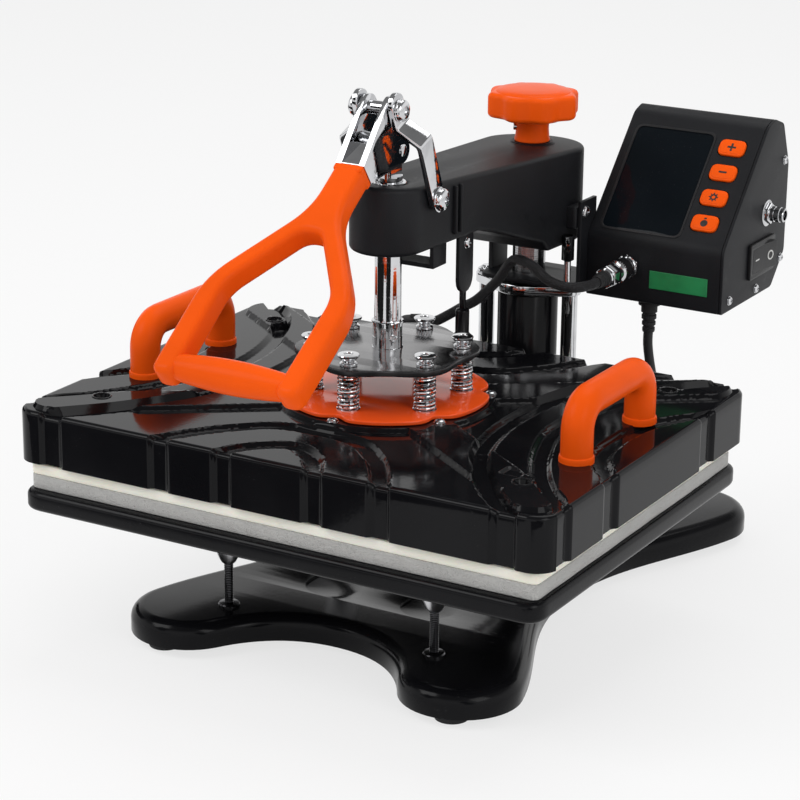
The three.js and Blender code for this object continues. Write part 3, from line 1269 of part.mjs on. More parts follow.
// Grab handles on the cover
function buildSideHandles() {
  const bottom = COVER_DECK + SEAT_GAP;
  const line = COVER_TOP + HANDLE_HEIGHT - HANDLE_RADIUS;
  const bendShare = 0.3;
  const near = HANDLE_BEND * bendShare;
  const half = HANDLE_HALF_SPAN;
  [["side_handle_left", -HANDLE_X], ["side_handle_right", HANDLE_X]].forEach(([name, x]) => {
    const bar = sweep([
      [x, -half, bottom],
      [x, -half, line - HANDLE_BEND],
      [x, -half + near, line - near],
      [x, -half + HANDLE_BEND, line],
      [x, 0, line],
      [x, half - HANDLE_BEND, line],
      [x, half - near, line - near],
      [x, half, line - HANDLE_BEND],
      [x, half, bottom],
    ], HANDLE_RADIUS, COARSE, 18);
    const feet = [-half, half].map((y) => (
      pillar(HANDLE_FOOT_RADIUS, x, y, bottom, bottom + HANDLE_FOOT_HEIGHT, COARSE, HANDLE_RADIUS)
    ));
    place(name, join(bar, ...feet), ORANGE);
  });
}

// Brackets under the arm
function buildBrackets() {
  const top = ARM_FRONT_BOTTOM - SEAT_GAP;
  const low = ARM_FRONT_BOTTOM - LOOP_DROP;
  const loop = outlineOf([
    [-LOOP_HALF_WIDTH, top],
    [-LOOP_HALF_WIDTH, low],
    [LOOP_HALF_WIDTH, low],
    [LOOP_HALF_WIDTH, top],
    [LOOP_HALF_WIDTH - SHEET_METAL, top],
    [LOOP_HALF_WIDTH - SHEET_METAL, low + SHEET_METAL],
    [-LOOP_HALF_WIDTH + SHEET_METAL, low + SHEET_METAL],
    [-LOOP_HALF_WIDTH + SHEET_METAL, top],
  ]);
  const strap = slab(loop, 0, LOOP_DEPTH).rotateX(QUARTER_TURN).translate(0, LOOP_Y + LOOP_DEPTH, 0);
  place("cable_loop", strap, SATIN_BLACK);
  const middle = STOP_Y + STOP_WIDTH / 2;
  const round = STOP_WIDTH / 2;
  const stopLow = top - STOP_DROP + round;
  const stop = hullOutline([
    [STOP_Y, top],
    [STOP_Y + STOP_WIDTH, top],
    ...circlePoints(middle, stopLow, round, FINE),
  ]);
  place("stop_plate", sideSlab(stop, STOP_X, STOP_X + SHEET_METAL), SATIN_BLACK);
}

// Bent sheet that closes the arm bearing from below and carries the control box
function buildBoxBracket() {
  const right = BOX_LEFT - SEAT_GAP;
  const left = PLATE_LEFT_X;
  const outline = rectangle(left, right, PLATE_FRONT_Y, PLATE_REAR_Y, PLATE_CORNER);
  const plateTop = PLATE_HEIGHT + SHEET_METAL;
  let solid = join(
    slab(outline, PLATE_HEIGHT, plateTop),
    block(left, left + SHEET_METAL, HANGER_FRONT_Y, HANGER_REAR_Y, PLATE_HEIGHT, ARM_REAR_BOTTOM - SEAT_GAP),
    block(right - SHEET_METAL, right, BOX_LEG_FRONT_Y + PLATE_CORNER, BOX_LEG_REAR_Y - PLATE_CORNER, PLATE_HEIGHT, BOX_LEG_TOP),
    pillar(SWING_STOP_RADIUS, SWING_STOP_X, SWING_STOP_Y, PLATE_HEIGHT, plateTop + SWING_STOP_LENGTH, COARSE),
    pillar(
      SWING_NUT_RADIUS, SWING_STOP_X, SWING_STOP_Y,
      plateTop + SWING_STOP_LENGTH, plateTop + SWING_STOP_LENGTH + SWING_NUT_LENGTH, BOLT_COUNT,
    ),
  );
  solid = cut(solid, pillar(POST_BORE, 0, COLUMN_Y, PLATE_HEIGHT - OVERRUN, plateTop + OVERRUN));
  place("box_bracket", solid, SATIN_BLACK);
}

// Control box: folded shell with a left wall, and a plate that closes its right side
function boxProfile(inset) {
  const slopeInset = inset;
  return outlineOf([
    [BOX_FRONT_Y + inset, BOX_BOTTOM + inset],
    [BOX_CHAMFER_Y - inset / 2, BOX_BOTTOM + inset],
    [BOX_BACK_Y - inset, BOX_BACK_LOW + inset / 2],
    [BOX_BACK_Y - inset, BOX_BACK_TOP],
    [BOX_BACK_BEND_Y - inset / 2, BOX_BACK_BEND - inset],
    [BOX_ROOF_Y, BOX_ROOF - inset],
    [BOX_SLOPE_TOP_Y + slopeInset / 2, BOX_SLOPE_TOP - inset],
    [BOX_FRONT_Y + inset, BOX_SLOPE_BOTTOM - inset / 2],
  ]);
}

function slopeSlab(shape, n0, n1) {
  return slab(shape, n0, n1).applyMatrix4(SLOPE_FRAME);
}

function keyOutline(step, extra) {
  const middle = KEY_START + KEY_PITCH * step;
  const halfWidth = KEY_WIDTH / 2 + extra;
  const halfLength = KEY_LENGTH / 2 + extra;
  return rectangle(KEY_X - halfWidth, KEY_X + halfWidth, middle - halfLength, middle + halfLength, KEY_CORNER);
}

function buildControlBox() {
  const sideStart = BOX_RIGHT - BOX_WALL;
  const outer = sideSlab(boxProfile(0), BOX_LEFT, sideStart - SEAT_GAP);
  const room = sideSlab(boxProfile(BOX_WALL), BOX_LEFT + BOX_WALL, sideStart + OVERRUN);
  const lens = rectangle(LENS_LEFT, LENS_RIGHT, LENS_START, LENS_END, LENS_CORNER);
  const window = rectangle(
    LENS_LEFT - SEAT_GAP, LENS_RIGHT + SEAT_GAP,
    LENS_START - SEAT_GAP, LENS_END + SEAT_GAP, LENS_CORNER,
  );
  const cuts = [room, slopeSlab(window, -BOX_WALL - OVERRUN, OVERRUN)];
  KEY_NAMES.forEach((name, step) => {
    cuts.push(slopeSlab(keyOutline(step, RUN_GAP), -BOX_WALL - OVERRUN, OVERRUN));
  });
  cuts.push(pillar(GLAND_RADIUS + SEAT_GAP, GLAND_X, GLAND_Y, BOX_BOTTOM - OVERRUN, BOX_BOTTOM + OVERRUN));
  place("control_shell", cut(solidOf(outer), ...cuts), SATIN_BLACK);
  const panel = solidOf(sideSlab(boxProfile(0), sideStart, BOX_RIGHT));
  place("control_side", cut(
    panel,
    rockerBlock(SEAT_GAP, sideStart - OVERRUN, BOX_RIGHT + OVERRUN),
    crossPin(SOCKET_RADIUS + SEAT_GAP, sideStart - OVERRUN, BOX_RIGHT + OVERRUN, SOCKET_Y, SOCKET_Z),
  ), SATIN_BLACK);
  place("display_lens", slopeSlab(lens, -LENS_THICKNESS - KEY_PROUD / 2, -KEY_PROUD / 2), SCREEN);
}

function buildKeys() {
  const rest = -BOX_WALL - KEY_TRAVEL - 2 * SEAT_GAP;
  KEY_NAMES.forEach((name, step) => {
    const cap = slopeSlab(keyOutline(step, 0), rest, KEY_PROUD);
    const flange = slopeSlab(keyOutline(step, KEY_FLANGE), rest, -BOX_WALL - 2 * SEAT_GAP);
    place(name, join(cap, flange), ORANGE);
  });
}

// Mains rocker in its frame
function rockerBlock(extra, x0, x1) {
  const halfLength = ROCKER_LENGTH / 2 - ROCKER_FRAME_WALL / 2 + extra;
  const halfHeight = ROCKER_HEIGHT / 2 - ROCKER_FRAME_WALL / 2 + extra;
  return block(x0, x1, ROCKER_Y - halfLength, ROCKER_Y + halfLength, ROCKER_Z - halfHeight, ROCKER_Z + halfHeight);
}

function buildRocker() {
  const flangeStart = BOX_RIGHT + SEAT_GAP;
  const flangeEnd = flangeStart + ROCKER_FRAME_PROUD;
  const halfLength = ROCKER_LENGTH / 2;
  const halfHeight = ROCKER_HEIGHT / 2;
  const inner = BOX_RIGHT - BOX_WALL - ROCKER_DEPTH;
  const frame = join(
    block(flangeStart, flangeEnd, ROCKER_Y - halfLength, ROCKER_Y + halfLength, ROCKER_Z - halfHeight, ROCKER_Z + halfHeight),
    rockerBlock(0, inner, flangeEnd - ROCKER_FRAME_PROUD / 2),
  );
  const roomLength = halfLength - ROCKER_FRAME_WALL;
  const roomHeight = halfHeight - ROCKER_FRAME_WALL;
  const floor = inner + ROCKER_FRAME_WALL;
  place("rocker_frame", cut(
    frame,
    block(floor, flangeEnd + OVERRUN, ROCKER_Y - roomLength, ROCKER_Y + roomLength, ROCKER_Z - roomHeight, ROCKER_Z + roomHeight),
  ), SATIN_BLACK);
  const capLength = roomLength - ROCKER_SIDE_GAP;
  const capHeight = roomHeight - RUN_GAP;
  const rise = ROCKER_RISE;
  const turn = Math.tan(ROCKER_TILT) * capLength;
  const cap = outlineOf([
    [ROCKER_Y - capLength, flangeEnd - rise],
    [ROCKER_Y, flangeEnd - rise - turn / 2],
    [ROCKER_Y + capLength, flangeEnd - rise],
    [ROCKER_Y + capLength, flangeEnd + rise / 2 + turn],
    [ROCKER_Y, flangeEnd],
    [ROCKER_Y - capLength, flangeEnd],
  ]);
  const side = slab(cap, ROCKER_Z - capHeight, ROCKER_Z + capHeight);
  const swap = new THREE.Matrix4().set(0, 1, 0, 0, 1, 0, 0, 0, 0, 0, -1, 2 * ROCKER_Z, 0, 0, 0, 1);
  place("power_rocker", side.applyMatrix4(swap), SATIN_BLACK);
}

function buildBoxFittings() {
  const nutStart = BOX_RIGHT + SEAT_GAP;
  const inner = BOX_RIGHT - BOX_WALL - SOCKET_NUT_HEIGHT;
  place("side_socket", join(
    crossPin(SOCKET_RADIUS, inner, BOX_RIGHT + SOCKET_LENGTH, SOCKET_Y, SOCKET_Z, COARSE),
    crossPin(SOCKET_NUT_RADIUS, nutStart, nutStart + SOCKET_NUT_HEIGHT, SOCKET_Y, SOCKET_Z, BOLT_COUNT),
  ), CHROME);
  const boardRear = BOX_BACK_Y - BOX_WALL - SEAT_GAP - PCB_STANDOFF;
  const x0 = BOX_LEFT + BOARD_PCB_MARGIN;
  const x1 = BOX_RIGHT - BOX_WALL - BOARD_PCB_MARGIN;
  const z0 = BOX_BACK_LOW + BOARD_PCB_MARGIN / 2;
  const z1 = BOX_BACK_TOP - BOARD_PCB_MARGIN / 2;
  const inset = 2 * PCB_STANDOFF_RADIUS;
  const posts = [[x0 + inset, z0 + inset], [x1 - inset, z0 + inset], [x1 - inset, z1 - inset], [x0 + inset, z1 - inset]];
  const chip = block(x0 + 3 * inset, x0 + 6 * inset, boardRear - PCB_THICKNESS - inset, boardRear, z0 + 2 * inset, z0 + 5 * inset);
  place("circuit_board", join(
    block(x0, x1, boardRear - PCB_THICKNESS, boardRear, z0, z1),
    chip,
    ...posts.map(([x, z]) => lengthPin(PCB_STANDOFF_RADIUS, boardRear - PCB_THICKNESS / 2, boardRear + PCB_STANDOFF, x, z, COARSE)),
  ), CIRCUIT);
  const flangeTop = BOX_BOTTOM - SEAT_GAP;
  const tipZ = flangeTop - GLAND_LENGTH;
  place("cord_gland", turned([
    [0, tipZ],
    [GLAND_TIP_RADIUS, tipZ],
    [GLAND_RADIUS, flangeTop - GLAND_FLANGE_HEIGHT],
    [GLAND_FLANGE_RADIUS, flangeTop - GLAND_FLANGE_HEIGHT],
    [GLAND_FLANGE_RADIUS, flangeTop],
    [GLAND_RADIUS, flangeTop],
    [GLAND_RADIUS, BOX_BOTTOM + BOX_WALL + GLAND_FLANGE_HEIGHT],
    [0, BOX_BOTTOM + BOX_WALL + GLAND_FLANGE_HEIGHT],
  ], COARSE).translate(GLAND_X, GLAND_Y, 0), RUBBER);
}

// Head connector, head cable and its gland on the cover
function buildHeadCable() {
  const flangeEnd = BOX_FRONT_Y - SEAT_GAP;
  const flangeStart = flangeEnd - PLUG_FLANGE_LENGTH;
  const barrelStart = flangeStart - PLUG_BARREL_LENGTH;
  const nutStart = barrelStart - PLUG_NUT_LENGTH;
  const bootStart = nutStart - PLUG_BOOT_LENGTH;
  place("head_connector", join(
    lengthPin(PLUG_FLANGE_RADIUS, flangeStart, flangeEnd, PLUG_X, PLUG_Z),
    lengthPin(PLUG_BARREL_RADIUS, barrelStart, flangeStart + SEAT_GAP, PLUG_X, PLUG_Z),
    lengthPin(PLUG_NUT_RADIUS, nutStart, barrelStart + SEAT_GAP, PLUG_X, PLUG_Z, COARSE),
    lengthPin(PLUG_BOOT_RADIUS - 1.2 * SEAT_GAP, bootStart, nutStart + SEAT_GAP, PLUG_X, PLUG_Z, COARSE, PLUG_BOOT_RADIUS),
  ), CHROME);
  const aimX = Math.cos(CABLE_SNOUT_HEADING);
  const aimY = Math.sin(CABLE_SNOUT_HEADING);
  const snout = crossPin(CABLE_SNOUT_RADIUS, 0, CABLE_SNOUT_LENGTH, 0, 0, COARSE, CABLE_SNOUT_TIP_RADIUS);
  snout.rotateZ(CABLE_SNOUT_HEADING).translate(CABLE_GLAND_X, CABLE_GLAND_Y, CABLE_SNOUT_Z);
  const post = pillar(
    CABLE_GLAND_RADIUS, CABLE_GLAND_X, CABLE_GLAND_Y,
    COVER_DECK + SEAT_GAP, COVER_DECK + CABLE_GLAND_HEIGHT, COARSE,
  );
  place("cable_gland", join(post, snout), RUBBER);
  const start = bootStart - SEAT_GAP;
  const reach = CABLE_SNOUT_LENGTH + SEAT_GAP;
  const along = (length) => [CABLE_GLAND_X + length * aimX, CABLE_GLAND_Y + length * aimY, CABLE_SNOUT_Z];
  place("head_cable", sweep([
    [PLUG_X, start, PLUG_Z],
    [PLUG_X, start - 2 * HEAD_CABLE_RADIUS, PLUG_Z],
    [72, 127, 224],
    [55, 128, 226],
    [36, 136, 233],
    [18, 144, 232],
    [4, 150, 215],
    [-6, 151, 204.5],
    [-16, 151, 195],
    [-26, 149.5, 189],
    [-34, 147, 183.5],
    along(reach + 3 * HEAD_CABLE_RADIUS / 2),
    along(reach),
  ], HEAD_CABLE_RADIUS, 8, 24), CORD_BLACK);
}

// Mains cord: the free stretch, the wound spare length and the plug
function coilPoints() {
  const points = [];
  const half = COIL_TURNS / 2;
  const steps = COIL_TURNS * COIL_STEPS;
  const outerRadius = COIL_RADIUS + (COIL_PITCH * half) / 2;
  const climb = 0.25;
  for (let step = 0; step <= steps; step += 1) {
    const turns = step / COIL_STEPS;
    const inward = Math.min(turns, half) - Math.max(turns - half, 0);
    const radius = outerRadius - COIL_PITCH * inward;
    const rise = Math.min(Math.max((turns - half) / (2 * climb) + 1 / 2, 0), 1);
    const angle = 2 * HALF_TURN * turns;
    points.push(new THREE.Vector3(
      COIL_X + radius * Math.cos(angle),
      COIL_Y + radius * Math.sin(angle),
      CORD_RADIUS + COIL_PITCH * rise,
    ));
  }
  const entry = points[0].clone().add(new THREE.Vector3(0, -2 * CORD_RADIUS, 0));
  const exit = points[points.length - 1].clone().add(new THREE.Vector3(-COIL_TAIL, 0, 0));
  return [entry, ...points, exit];
}

function buildMainsCord() {
  const coil = coilPoints();
  const gap = leastSelfGap(coil, CORD_RADIUS, COIL_STEPS / 2);
  console.log(`coil: least gap to itself ${gap.toFixed(2)} mm`);
  place("mains_coil", tube(coil, CORD_RADIUS, COIL_SIDES), CORD_BLACK);
  const entry = coil[0];
  const top = BOX_BOTTOM - SEAT_GAP - GLAND_LENGTH - SEAT_GAP;
  place("mains_cord", sweep([
    [GLAND_X, GLAND_Y, top],
    [GLAND_X, GLAND_Y, top - 4 * CORD_RADIUS],
    [92, 228, 130],
    [88, 262, 84],
    [78, 302, 52],
    [62, 328, 26],
    [46, 337, 9],
    [entry.x + 5, entry.y - 17, CORD_RADIUS + 0.6],
    [entry.x, entry.y - SEAT_GAP - CORD_RADIUS, CORD_RADIUS],
    [entry.x, entry.y - SEAT_GAP, CORD_RADIUS],
  ], CORD_RADIUS, 8, 24), CORD_BLACK);
  const exit = coil[coil.length - 1];
  const bootStart = exit.x - SEAT_GAP;
  const bodyStart = bootStart - MAINS_BOOT_LENGTH;
  const bodyEnd = bodyStart - MAINS_BODY_LENGTH;
  const pinEnd = bodyEnd - MAINS_PIN_LENGTH;
  const half = MAINS_BODY_WIDTH / 2;
  const body = rectangle(bodyEnd, bodyStart, exit.y - half, exit.y + half, MAINS_BODY_CORNER);
  place("mains_plug", join(
    slab(body, 0, 2 * exit.z, CORD_RADIUS / 2),
    crossPin(2 * CORD_RADIUS, bodyStart - CORD_RADIUS, bootStart, exit.y, exit.z, COARSE),
    ...[-MAINS_PIN_SPACING / 2, MAINS_PIN_SPACING / 2].map((y) => (
      crossPin(MAINS_PIN_RADIUS, pinEnd, bodyEnd + CORD_RADIUS, exit.y + y, exit.z, COARSE)
    )),
  ), CORD_BLACK);
}

// Knob, its screw and the nut that the screw drives
function buildKnob() {
  const steps = 40;
  const outline = wavedOutline(KNOB_RADIUS, KNOB_LOBE, KNOB_LOBES, 0, steps);
  const top = KNOB_BOTTOM + KNOB_HEIGHT;
  const body = slab(outline, KNOB_BOTTOM, top, KNOB_EDGE, 1);
  const neck = pillar(KNOB_NECK_RADIUS, 0, 0, KNOB_SEAT_HEIGHT + SEAT_GAP, KNOB_BOTTOM + KNOB_EDGE);
  const bore = pillar(SCREW_RADIUS + SEAT_GAP, 0, 0, KNOB_SEAT_HEIGHT - OVERRUN, SCREW_TOP + SEAT_GAP);
  const solid = cut(join(body, neck), bore);
  place("pressure_knob", geometryOf(solid).translate(0, COLUMN_Y, 0), ORANGE);
  place("pressure_screw", pillar(SCREW_RADIUS, 0, COLUMN_Y, SCREW_BOTTOM, SCREW_TOP, COARSE), STEEL);
  const nutTop = PRESSURE_NUT_BOTTOM + PRESSURE_NUT_HEIGHT;
  const nut = solidOf(pillar(POST_RADIUS, 0, COLUMN_Y, PRESSURE_NUT_BOTTOM, nutTop));
  place("pressure_nut", cut(
    nut,
    pillar(SCREW_RADIUS + SEAT_GAP, 0, COLUMN_Y, PRESSURE_NUT_BOTTOM - OVERRUN, nutTop + OVERRUN),
  ), BRONZE);
}

buildBase();
buildFeet();
buildBoard();
buildPad();
buildColumn();
buildArm();
buildBrackets();
buildBoxBracket();
buildLinkBolts();
buildLinks();
buildShaft();
buildRing();
buildSprings();
buildFork();
buildPins();
buildLeverHandle();
buildCover();
buildPlaten();
buildSideHandles();
buildControlBox();
buildKeys();
buildRocker();
buildBoxFittings();
buildHeadCable();
buildMainsCord();
buildKnob();

// The origin lies on the floor under the middle of the machine, cords left out
const cords = ["head_cable", "mains_cord", "mains_coil", "mains_plug"];
const extent = new THREE.Box3();
press.children.filter((mesh) => !cords.includes(mesh.name)).forEach((mesh) => {
  extent.expandByObject(mesh);
});
const middle = extent.getCenter(new THREE.Vector3());
press.position.set(-middle.x, -middle.y, -extent.min.z);
press.updateMatrixWorld(true);

export default press;
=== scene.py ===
import math

import bpy
import bmesh
from bpy.props import FloatProperty, FloatVectorProperty, PointerProperty
from mathutils import Matrix, Vector
from mathutils.kdtree import KDTree


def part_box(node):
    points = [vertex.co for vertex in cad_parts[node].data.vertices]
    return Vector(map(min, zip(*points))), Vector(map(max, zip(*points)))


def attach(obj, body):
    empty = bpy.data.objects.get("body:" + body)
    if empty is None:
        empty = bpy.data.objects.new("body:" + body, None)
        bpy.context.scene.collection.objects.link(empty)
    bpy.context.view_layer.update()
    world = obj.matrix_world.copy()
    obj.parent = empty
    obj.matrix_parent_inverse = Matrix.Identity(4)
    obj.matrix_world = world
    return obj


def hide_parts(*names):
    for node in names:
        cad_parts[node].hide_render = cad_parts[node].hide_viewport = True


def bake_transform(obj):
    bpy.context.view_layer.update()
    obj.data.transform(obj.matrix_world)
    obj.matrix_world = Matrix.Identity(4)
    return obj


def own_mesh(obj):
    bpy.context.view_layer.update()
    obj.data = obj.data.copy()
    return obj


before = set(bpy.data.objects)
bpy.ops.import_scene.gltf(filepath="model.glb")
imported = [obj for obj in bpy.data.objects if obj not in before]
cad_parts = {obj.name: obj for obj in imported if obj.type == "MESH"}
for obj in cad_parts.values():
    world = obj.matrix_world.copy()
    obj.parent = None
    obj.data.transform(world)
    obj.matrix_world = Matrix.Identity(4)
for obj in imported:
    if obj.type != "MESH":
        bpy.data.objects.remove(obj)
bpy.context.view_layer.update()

bl_info = {
    "name": "Combo heat press",
    "version": (1, 0, 0),
    "blender": (4, 5, 0),
    "location": "View3D > Sidebar > Heat press",
    "description": "Builds the looks of a swing arm heat press round its fixed frame",
    "category": "Object",
}

MM = 0.001
ACROSS = Vector((1, 0, 0))
MIRROR = Matrix.Scale(-1, 4, ACROSS)
FULL = 2 * math.pi

# The machine's own drawing is in millimetres, with the press shaft on the z axis and the column behind it
COLUMN_Y = 203
LOW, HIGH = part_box("column_tube")
ROW_Y = (LOW.y + HIGH.y) / 2 / MM - COLUMN_Y
TO_ROW = Matrix.Scale(MM, 4) @ Matrix.Translation((0, ROW_Y, 0))

# Sizes that several pieces share
BASE_LOW, BASE_TOP = 7, 25
BOARD_LOW, BOARD_TOP = 97.5, 111.5
DISC_LOW, DISC_TOP = 199, 203
FEET = [
    (end + "_" + side, (x, y, 0))
    for x, side in ((-111, "left"), (111, "right")) for y, end in ((-104, "front"), (298, "rear"))
]
CRANK = Vector((0, 0, 337.6235))
ANCHOR = Vector((0, 12.2, 305.2))
JOINT = Vector((0, -13.548, 367.055))
LEVER_LEAN = math.radians(35.2)
LEVER_ALONG = Vector((0, -math.cos(LEVER_LEAN), -math.sin(LEVER_LEAN)))
SIXTHS = [math.radians(30 + 60 * k) for k in range(6)]
BOLT_CIRCLE = 50
BOLT_SPOTS = [(BOLT_CIRCLE * math.cos(a), BOLT_CIRCLE * math.sin(a)) for a in SIXTHS]


# Sizes and colours

def size(name, default, description, top=1.0):
    return FloatProperty(
        name=name, description=description, default=default, min=0, soft_max=top, unit="LENGTH", precision=4,
    )


def tint(name, default, description):
    return FloatVectorProperty(
        name=name, description=description, default=default, subtype="COLOR", size=3, min=0, max=1,
    )


class PressSizes(bpy.types.PropertyGroup):
    pad_width: size("Pad width", 0.380, "Left to right size of the work pad")
    pad_depth: size("Pad depth", 0.290, "Front to back size of the work pad")
    pad_corner: size("Pad corner", 0.006, "Radius of the pad's corners")
    foam: size("Foam", 0.010, "Thickness of the grey foam under the silicone")
    silicone: size("Silicone", 0.008, "Thickness of the silicone sheet")
    cover_channel: size("Channel depth", 0.003, "Depth of the curved channels in the cover")
    cover_edge: size("Cover edge", 0.0028, "Rounding of the cover's top edge")
    disc_radius: size("Disc radius", 0.0585, "Mean radius of the scalloped pressure disc")
    ring_radius: size("Ring radius", 0.069, "Radius of the orange spring plate")
    spring_wire: size("Spring wire", 0.00095, "Wire radius of the coil springs")
    knob_radius: size("Knob radius", 0.0316, "Mean radius of the pressure knob")
    handle_bar: size("Handle bar", 0.0105, "Radius of the side handles")
    grip: size("Lever grip", 0.0092, "Radius of the lever's grip at its ends")
    cord: size("Mains cord", 0.007, "Diameter of the mains cord")
    head_cable: size("Head cable", 0.0072, "Diameter of the braided head cable")


class PressColours(bpy.types.PropertyGroup):
    orange: tint("Orange", (1.0, 0.112, 0.007), "Moulded orange handles, knob and keys")
    orange_plate: tint("Orange plate", (1.0, 0.105, 0.014), "Painted spring plate")
    black: tint("Gloss black", (0.0045, 0.0045, 0.0055), "Enamel of the base, column, board and cover")
    satin: tint("Satin black", (0.0062, 0.0066, 0.0082), "Powder coat of the arm and the control box")
    chrome: tint("Chrome", (0.66, 0.665, 0.68), "Plated bolts, straps, shaft and springs")
    cream: tint("Silicone", (0.97, 0.945, 0.845), "Silicone sheet of the work pad")
    foam: tint("Foam", (0.53, 0.525, 0.51), "Foam under the silicone sheet")
    rubber: tint("Rubber", (0.012, 0.012, 0.013), "Feet, glands and the mains cord")
    plate: tint("Bare plate", (0.015, 0.27, 0.085), "Plain green plate under the screen")


def sizes():
    return bpy.context.scene.press_sizes


def in_mm(name):
    return getattr(sizes(), name) / MM


def colour_of(name):
    return getattr(bpy.context.scene.press_colours, name)


# Modelling helpers

def alone(obj):
    if bpy.context.object is not None and bpy.context.object.mode != "OBJECT":
        bpy.ops.object.mode_set(mode="OBJECT")
    bpy.ops.object.select_all(action="DESELECT")
    obj.select_set(True)
    bpy.context.view_layer.objects.active = obj
    return obj


def clear():
    bpy.ops.object.select_all(action="DESELECT")


def taken(name):
    obj = bpy.context.active_object
    obj.name = name
    obj.data.name = name
    bpy.ops.object.transform_apply(location=True, rotation=True, scale=True)
    return obj


def block(name, x0, x1, y0, y1, z0, z1):
    clear()
    bpy.ops.mesh.primitive_cube_add(
        size=1, location=((x0 + x1) / 2, (y0 + y1) / 2, (z0 + z1) / 2), scale=(x1 - x0, y1 - y0, z1 - z0),
    )
    return taken(name)


def edit(obj):
    alone(obj)
    bpy.ops.object.mode_set(mode="EDIT")
    bpy.ops.mesh.select_all(action="SELECT")


def done():
    bpy.ops.object.mode_set(mode="OBJECT")


def tidy(obj, threshold=0.001):
    """Doubles merged and faces turned outwards."""
    edit(obj)
    bpy.ops.mesh.remove_doubles(threshold=threshold)
    bpy.ops.mesh.normals_make_consistent(inside=False)
    done()
    return obj


def turned(name, rings, sides=48):
    """A turned piece on the z axis: a disc that is extruded and scaled from ring to ring."""
    clear()
    radius, height = rings[0]
    bpy.ops.mesh.primitive_circle_add(
        vertices=sides, radius=radius, fill_type="NGON", location=(0, 0, height),
    )
    obj = taken(name)
    edit(obj)
    for wide, high in rings[1:]:
        bpy.ops.mesh.extrude_region_move(TRANSFORM_OT_translate={"value": (0, 0, high - height)})
        if wide != radius:
            share = wide / radius
            bpy.ops.transform.resize(value=(share, share, 1), center_override=(0, 0, high))
        radius, height = wide, high
    bpy.ops.mesh.select_all(action="SELECT")
    bpy.ops.mesh.normals_make_consistent(inside=False)
    done()
    return obj


def moved(obj, matrix):
    obj.data.transform(matrix)
    obj.data.update()
    return obj


def at(obj, x, y, z):
    return moved(obj, Matrix.Translation((x, y, z)))


def facing(direction, place=(0, 0, 0)):
    """The z axis turned to a direction, then moved to a place."""
    turn = Vector((0, 0, 1)).rotation_difference(Vector(direction)).to_matrix().to_4x4()
    return Matrix.Translation(place) @ turn


def basis(x, y, z, place=(0, 0, 0)):
    """The three axes of a drawing turned to three directions, then moved to a place."""
    turn = Matrix((x, y, z)).transposed().to_4x4()
    return Matrix.Translation(place) @ turn


# A flat piece drawn in y and z, with its thickness along x
SIDEWAYS = basis((0, 1, 0), (0, 0, 1), (1, 0, 0))


def curve_object(name, loops, dimensions="3D", cyclic=True, radii=None):
    data = bpy.data.curves.new(name, "CURVE")
    data.dimensions = dimensions
    for loop in loops:
        spline = data.splines.new("POLY")
        spline.points.add(len(loop) - 1)
        for number, point in enumerate(loop):
            spot = tuple(point) + (0,) * (3 - len(point))
            spline.points[number].co = (*spot, 1)
            if radii:
                spline.points[number].radius = radii[number]
        spline.use_cyclic_u = cyclic
    obj = bpy.data.objects.new(name, data)
    bpy.context.scene.collection.objects.link(obj)
    return obj


def flat(name, loops, z0, z1, edge=0.0, steps=3):
    """A flat outline, with its holes, given a thickness and rounded edges."""
    obj = curve_object(name, loops, "2D")
    data = obj.data
    data.fill_mode = "BOTH"
    data.extrude = (z1 - z0) / 2 - edge
    data.bevel_depth = edge
    data.bevel_resolution = steps
    data.offset = -edge
    alone(obj)
    bpy.ops.object.convert(target="MESH")
    obj = bpy.context.active_object
    moved(obj, Matrix.Translation((0, 0, (z0 + z1) / 2)))
    return tidy(obj)


def bar(name, points, radius, resolution=5, cyclic=False, radii=None):
    """A round bar along a line of points."""
    obj = curve_object(name, [points], "3D", cyclic, radii)
    obj.data.bevel_depth = radius
    obj.data.bevel_resolution = resolution
    obj.data.use_fill_caps = not cyclic
    alone(obj)
    bpy.ops.object.convert(target="MESH")
    return tidy(bpy.context.active_object)


def use(obj, kind, **settings):
    """A modifier added, set and applied."""
    alone(obj)
    bpy.ops.object.modifier_add(type=kind)
    modifier = obj.modifiers[-1]
    for name, value in settings.items():
        setattr(modifier, name, value)
    bpy.ops.object.modifier_apply(modifier=modifier.name)
    return obj


def rounded(obj, width, segments=3, angle=35):
    return use(
        obj, "BEVEL", width=width, segments=segments, limit_method="ANGLE",
        angle_limit=math.radians(angle), use_clamp_overlap=True,
    )


def cut(obj, *tools, operation="DIFFERENCE"):
    for tool in tools:
        use(obj, "BOOLEAN", operation=operation, solver="EXACT", object=tool)
        bpy.data.objects.remove(tool)
    return obj


def joined(name, *parts):
    clear()
    for part in parts:
        part.select_set(True)
    bpy.context.view_layer.objects.active = parts[0]
    bpy.ops.object.join()
    parts[0].name = name
    parts[0].data.name = name
    return parts[0]


def copied(obj, name, matrix=None):
    twin = obj.copy()
    twin.data = obj.data.copy()
    twin.name = name
    twin.data.name = name
    bpy.context.scene.collection.objects.link(twin)
    if matrix is not None:
        twin.data.transform(matrix)
        if matrix.determinant() < 0:
            twin.data.flip_normals()
    return twin


def round_loop(radius, count=48, x=0, y=0):
    angles = [FULL * k / count for k in range(count)]
    return [(x + radius * math.cos(a), y + radius * math.sin(a)) for a in angles]


